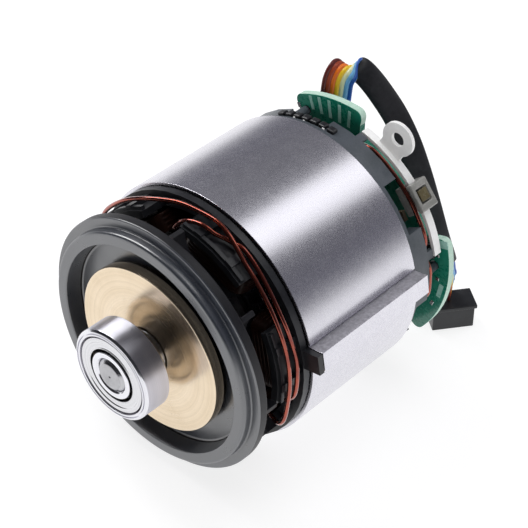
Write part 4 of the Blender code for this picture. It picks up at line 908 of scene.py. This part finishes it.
def boardOutline():
    s = boardSet
    ears = sorted((first % 360.0, (first % 360.0) + last - first) for first, last in s["ears"])
    points = []
    low = s["ear"] - s["earDrop"]
    quarter = [math.pi / 2 * k / 6 for k in range(7)]
    for i, (first, last) in enumerate(ears):
        points += arc(s["body"], first - s["footFar"], first - s["footNear"], 1)
        points.append(arc(low, first, first, 1)[0])
        points += [earCorner(first, turn, 1) for turn in quarter]
        points += arc(s["ear"], first + s["earFlat"], last - s["earFlat"], 24)
        points += [earCorner(last, turn, -1) for turn in quarter[::-1]]
        points.append(arc(low, last, last, 1)[0])
        following = ears[(i + 1) % len(ears)][0] + (360.0 if i + 1 == len(ears) else 0.0)
        points += arc(s["body"], last + s["footNear"], following - s["footRest"], 20)
    return points


def makeBoard():
    s = boardSet
    piece = slab("sensorBoard", boardOutline(), s["front"], s["rear"])
    start, end = s["front"] - s["cutPast"], s["rear"] + s["cutPast"]
    combine(piece, slab("boreCut", arc(s["bore"], 0, 355, 71), start, end), "DIFFERENCE")
    for angle in s["postAngles"]:
        centre = around(s["postRadius"], angle, 0)
        ring = arc(s["hole"], 0, 345, 23)
        hole = slab("holeCut", [(centre.x + x, centre.z + z) for x, z in ring], start, end)
        combine(piece, hole, "DIFFERENCE")
    bevelled(piece, s["ease"], 1, 40)
    place(smooth(piece, 30), "stator", finishes["boardGreen"], "sensor_board")
    alsoFinish(piece, finishes["boardEdge"], lambda spot, way: abs(way.y) < 0.5
               and math.hypot(spot.x, spot.z) > s["ear"] - s["edgeBand"])
    for name, spots, along, ease, coat in (
            ("earStripes", s["stripes"], s["front"], 0, "paleMask"),
            ("tinPads", s["pads"], s["front"], 0.05, "solder"),
            ("slotLacing", s["lacing"], s["lacingAlong"], 0.3, "blackPlastic"),
            ("lacingDots", s["dots"], s["dotsAlong"], 0.12, "tin")):
        marks = [block("mark", (radius, along, 0), size, angle) for radius, angle, size in spots]
        piece = joined(name, marks)
        if ease:
            bevelled(piece, ease, s["markSteps"][name])
        place(piece, "stator", finishes[coat])
    parts = [(f"hall_sensor_{i}", f"hallSensor{i}", 0.15, "chipBlack") for i in range(1, 4)]
    parts += [("edge_component", "edgePart", 0.12, "chipBlack"),
              ("temperature_sensor", "heatSensor", 0.12, "chipBlack")]
    parts += [(f"capacitor_{i}", f"chipCapacitor{i}", 0.1, "ceramicTan") for i in range(1, 3)]
    for node, name, ease, coat in parts:
        place(refined(node, name, ease), "stator", finishes[coat], node)
    print("board made")


# cable and plug

cableSet = {
    "route": [(-7.2, 66.45, 19.2), (-7.2, 67.6, 19.25), (-7.2, 69.2, 20.3), (-7.2, 70.0, 22.4),
              (-7.1, 70.2, 24.9), (-7.0, 70.6, 27.2), (-6.7, 71.6, 28.8), (-6.3, 73.4, 29.3),
              (-5.2, 75.1, 28.3), (-3.2, 75.8, 26.7), (0.2, 75.7, 24.4), (4.2, 75.2, 21.5),
              (8.3, 74.5, 17.3), (11.9, 73.9, 11.8), (15.1, 73.4, 5.8), (18.1, 73.1, -0.7),
              (19.6, 74.2, -6.1), (19.6, 76.6, -11.6), (18.2, 79.4, -16.2), (17.2, 80.8, -19.0),
              (17.0, 81.0, -20.7)],
    "flat": [(1, 0, 0), (1, 0, 0), (1, 0, 0), (0.95, 0.3, 0), (0.77, 0.63, -0.08),
             (0.76, 0.65, -0.04),
             (0.74, 0.68, 0), (0.68, 0.73, 0.09), (0.49, 0.81, 0.33), (0.33, 0.82, 0.47),
             (0.31, 0.82, 0.48), (0.33, 0.82, 0.47), (0.45, 0.82, 0.37), (0.57, 0.79, 0.24),
             (0.59, 0.78, 0.21), (0.6, 0.77, 0.2), (0.34, 0.93, -0.1), (-0.14, 0.81, -0.56),
             (-0.37, 0.69, -0.62), (-0.41, 0.67, -0.62), (-0.41, 0.67, -0.62)],
    "width": 6.4, "bunched": 0.66, "wires": 7, "wire": 0.9, "sleeveFrom": 0.375, "sleeveTo": 0.815,
    "sleeveWidth": 5.2, "sleeveThick": 1.4, "sleeveRing": 28, "wideRound": 0.55,
    "thickRound": 0.8, "mouth": 0.85, "mouthSteps": 3, "narrowBefore": 0.06, "narrowOver": 0.12,
    "steps": 150, "skin": (150, 120, 90, 60, 30),
}


def loft(name, rows):  # rings of points joined into one skin, in mm
    deselect()
    mesh = bpy.data.meshes.new(name)
    count = len(rows[0])
    points = [tuple(Vector(point) * mm) for row in rows for point in row]
    faces = []
    for i in range(len(rows) - 1):
        for k in range(count):
            n = (k + 1) % count
            faces.append((i * count + k, i * count + n, (i + 1) * count + n, (i + 1) * count + k))
    faces.append(tuple(range(count))[::-1])
    faces.append(tuple((len(rows) - 1) * count + k for k in range(count)))
    mesh.from_pydata(points, [], faces)
    piece = bpy.data.objects.new(name, mesh)
    bpy.context.collection.objects.link(piece)
    pick(piece)
    bpy.ops.object.mode_set(mode="EDIT")
    mend()
    bpy.ops.object.mode_set(mode="OBJECT")
    return piece


def cableFrames(count):
    route = [Vector(point) for point in cableSet["route"]]
    flats = [Vector(point) for point in cableSet["flat"]]
    line = smoothLine(route, count)
    sides = smoothLine(flats, count)
    frames = []
    for i, (point, side) in enumerate(zip(line, sides)):
        ahead = (line[min(i + 1, count)] - line[max(i - 1, 0)]).normalized()
        across = (side - ahead * side.dot(ahead)).normalized()
        frames.append((point, across, ahead.cross(across).normalized()))
    return frames


def makeCable():
    s = cableSet
    count = s["steps"]
    frames = cableFrames(count)
    rows, widths = [], []
    for i, (point, across, normal) in enumerate(frames):
        share = (i / count - s["sleeveFrom"] + s["narrowBefore"]) / s["narrowOver"]
        share = min(max(share, 0.0), 1.0)
        narrow = 1 - (1 - s["bunched"]) * share * share * (3 - 2 * share)
        pitch, thick = s["width"] / s["wires"] * narrow, s["wire"] * narrow
        row = []
        for side in (1, -1):
            wires = range(s["wires"]) if side > 0 else reversed(range(s["wires"]))
            for k in wires:
                middle = (k - (s["wires"] - 1) / 2) * pitch
                for turn in s["skin"] if side > 0 else s["skin"][::-1]:
                    angle = math.radians(turn * side)
                    row.append(point + across * (middle + thick / 2 * math.cos(angle))
                               + normal * (thick / 2 * math.sin(angle)))
        rows.append(row)
        widths.append(pitch * s["wires"])
    ribbon = loft("sensorRibbon", rows)
    pick(ribbon)
    bpy.ops.object.shade_smooth()
    uv = ribbon.data.uv_layers.new(name="ribbonWidth")
    lookup = [(frames[i][0], frames[i][1], widths[i]) for i in range(count + 1)]
    for face in ribbon.data.polygons:
        for corner in face.loop_indices:
            spot = ribbon.data.vertices[ribbon.data.loops[corner].vertex_index].co / mm
            point, across, wide = min(lookup, key=lambda entry: (entry[0] - spot).length_squared)
            uv.data[corner].uv = ((spot - point).dot(across) / wide + 0.5, 0.5)
    place(ribbon, "stator", ribbonFinish())
    first, last = round(s["sleeveFrom"] * count), round(s["sleeveTo"] * count)
    rows = []
    for i in range(first, last + 1):
        point, across, normal = frames[i]
        fade = min(1.0, (i - first + 1) / s["mouthSteps"], (last - i + 1) / s["mouthSteps"])
        half = s["sleeveThick"] / 2 * (s["mouth"] + (1 - s["mouth"]) * fade)
        row = []
        for k in range(s["sleeveRing"]):
            turn = 2 * math.pi * k / s["sleeveRing"]
            wide = math.copysign(abs(math.cos(turn)) ** s["wideRound"], math.cos(turn))
            thick = math.copysign(abs(math.sin(turn)) ** s["thickRound"], math.sin(turn))
            row.append(point + across * wide * s["sleeveWidth"] / 2 + normal * thick * half)
        rows.append(row)
    sleeve = loft("cableSleeve", rows)
    pick(sleeve)
    bpy.ops.object.shade_smooth()
    place(smooth(sleeve, 50), "stator", finishes["sleeveBlack"])
    plug = makePlug()
    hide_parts("sensor_cable")
    print("cable made")


ribbonColours = [
    (0.0, (0.10, 0.012, 0.010)), (0.143, (0.30, 0.045, 0.015)), (0.286, (0.75, 0.16, 0.012)),
    (0.429, (0.80, 0.52, 0.02)), (0.571, (0.70, 0.74, 0.46)), (0.714, (0.16, 0.42, 0.72)),
    (0.857, (0.02, 0.10, 0.42))]


def ribbonFinish():
    made = finish("ribbonSkin", (0.5, 0.5, 0.5), 0.36, scale=2500.0, depth=0.003)
    tree = made.node_tree
    where = tree.nodes.new("ShaderNodeUVMap")
    where.uv_map = "ribbonWidth"
    split = tree.nodes.new("ShaderNodeSeparateXYZ")
    ramp = tree.nodes.new("ShaderNodeValToRGB")
    fillRamp(ramp, ribbonColours)
    ramp.color_ramp.interpolation = "CONSTANT"
    tree.links.new(where.outputs["UV"], split.inputs[0])
    tree.links.new(split.outputs["X"], ramp.inputs["Fac"])
    tree.links.new(ramp.outputs["Color"], tree.nodes["Principled BSDF"].inputs["Base Color"])
    return made


def makePlug():
    return place(refined("sensor_plug", "cablePlug", 0.2, 3), "stator", finishes["blackPlastic"],
                 "sensor_plug")


makeCamera()
makeCable()
makeLight()
makeBearing("front")
makeBearing("rear")
makeShaft()
makeDisc()
makeFan()
makeRotorInside()
makeStack()
makeInsulators()
makeCoils()
makeLinks()
makeLugs()
makeBoard()
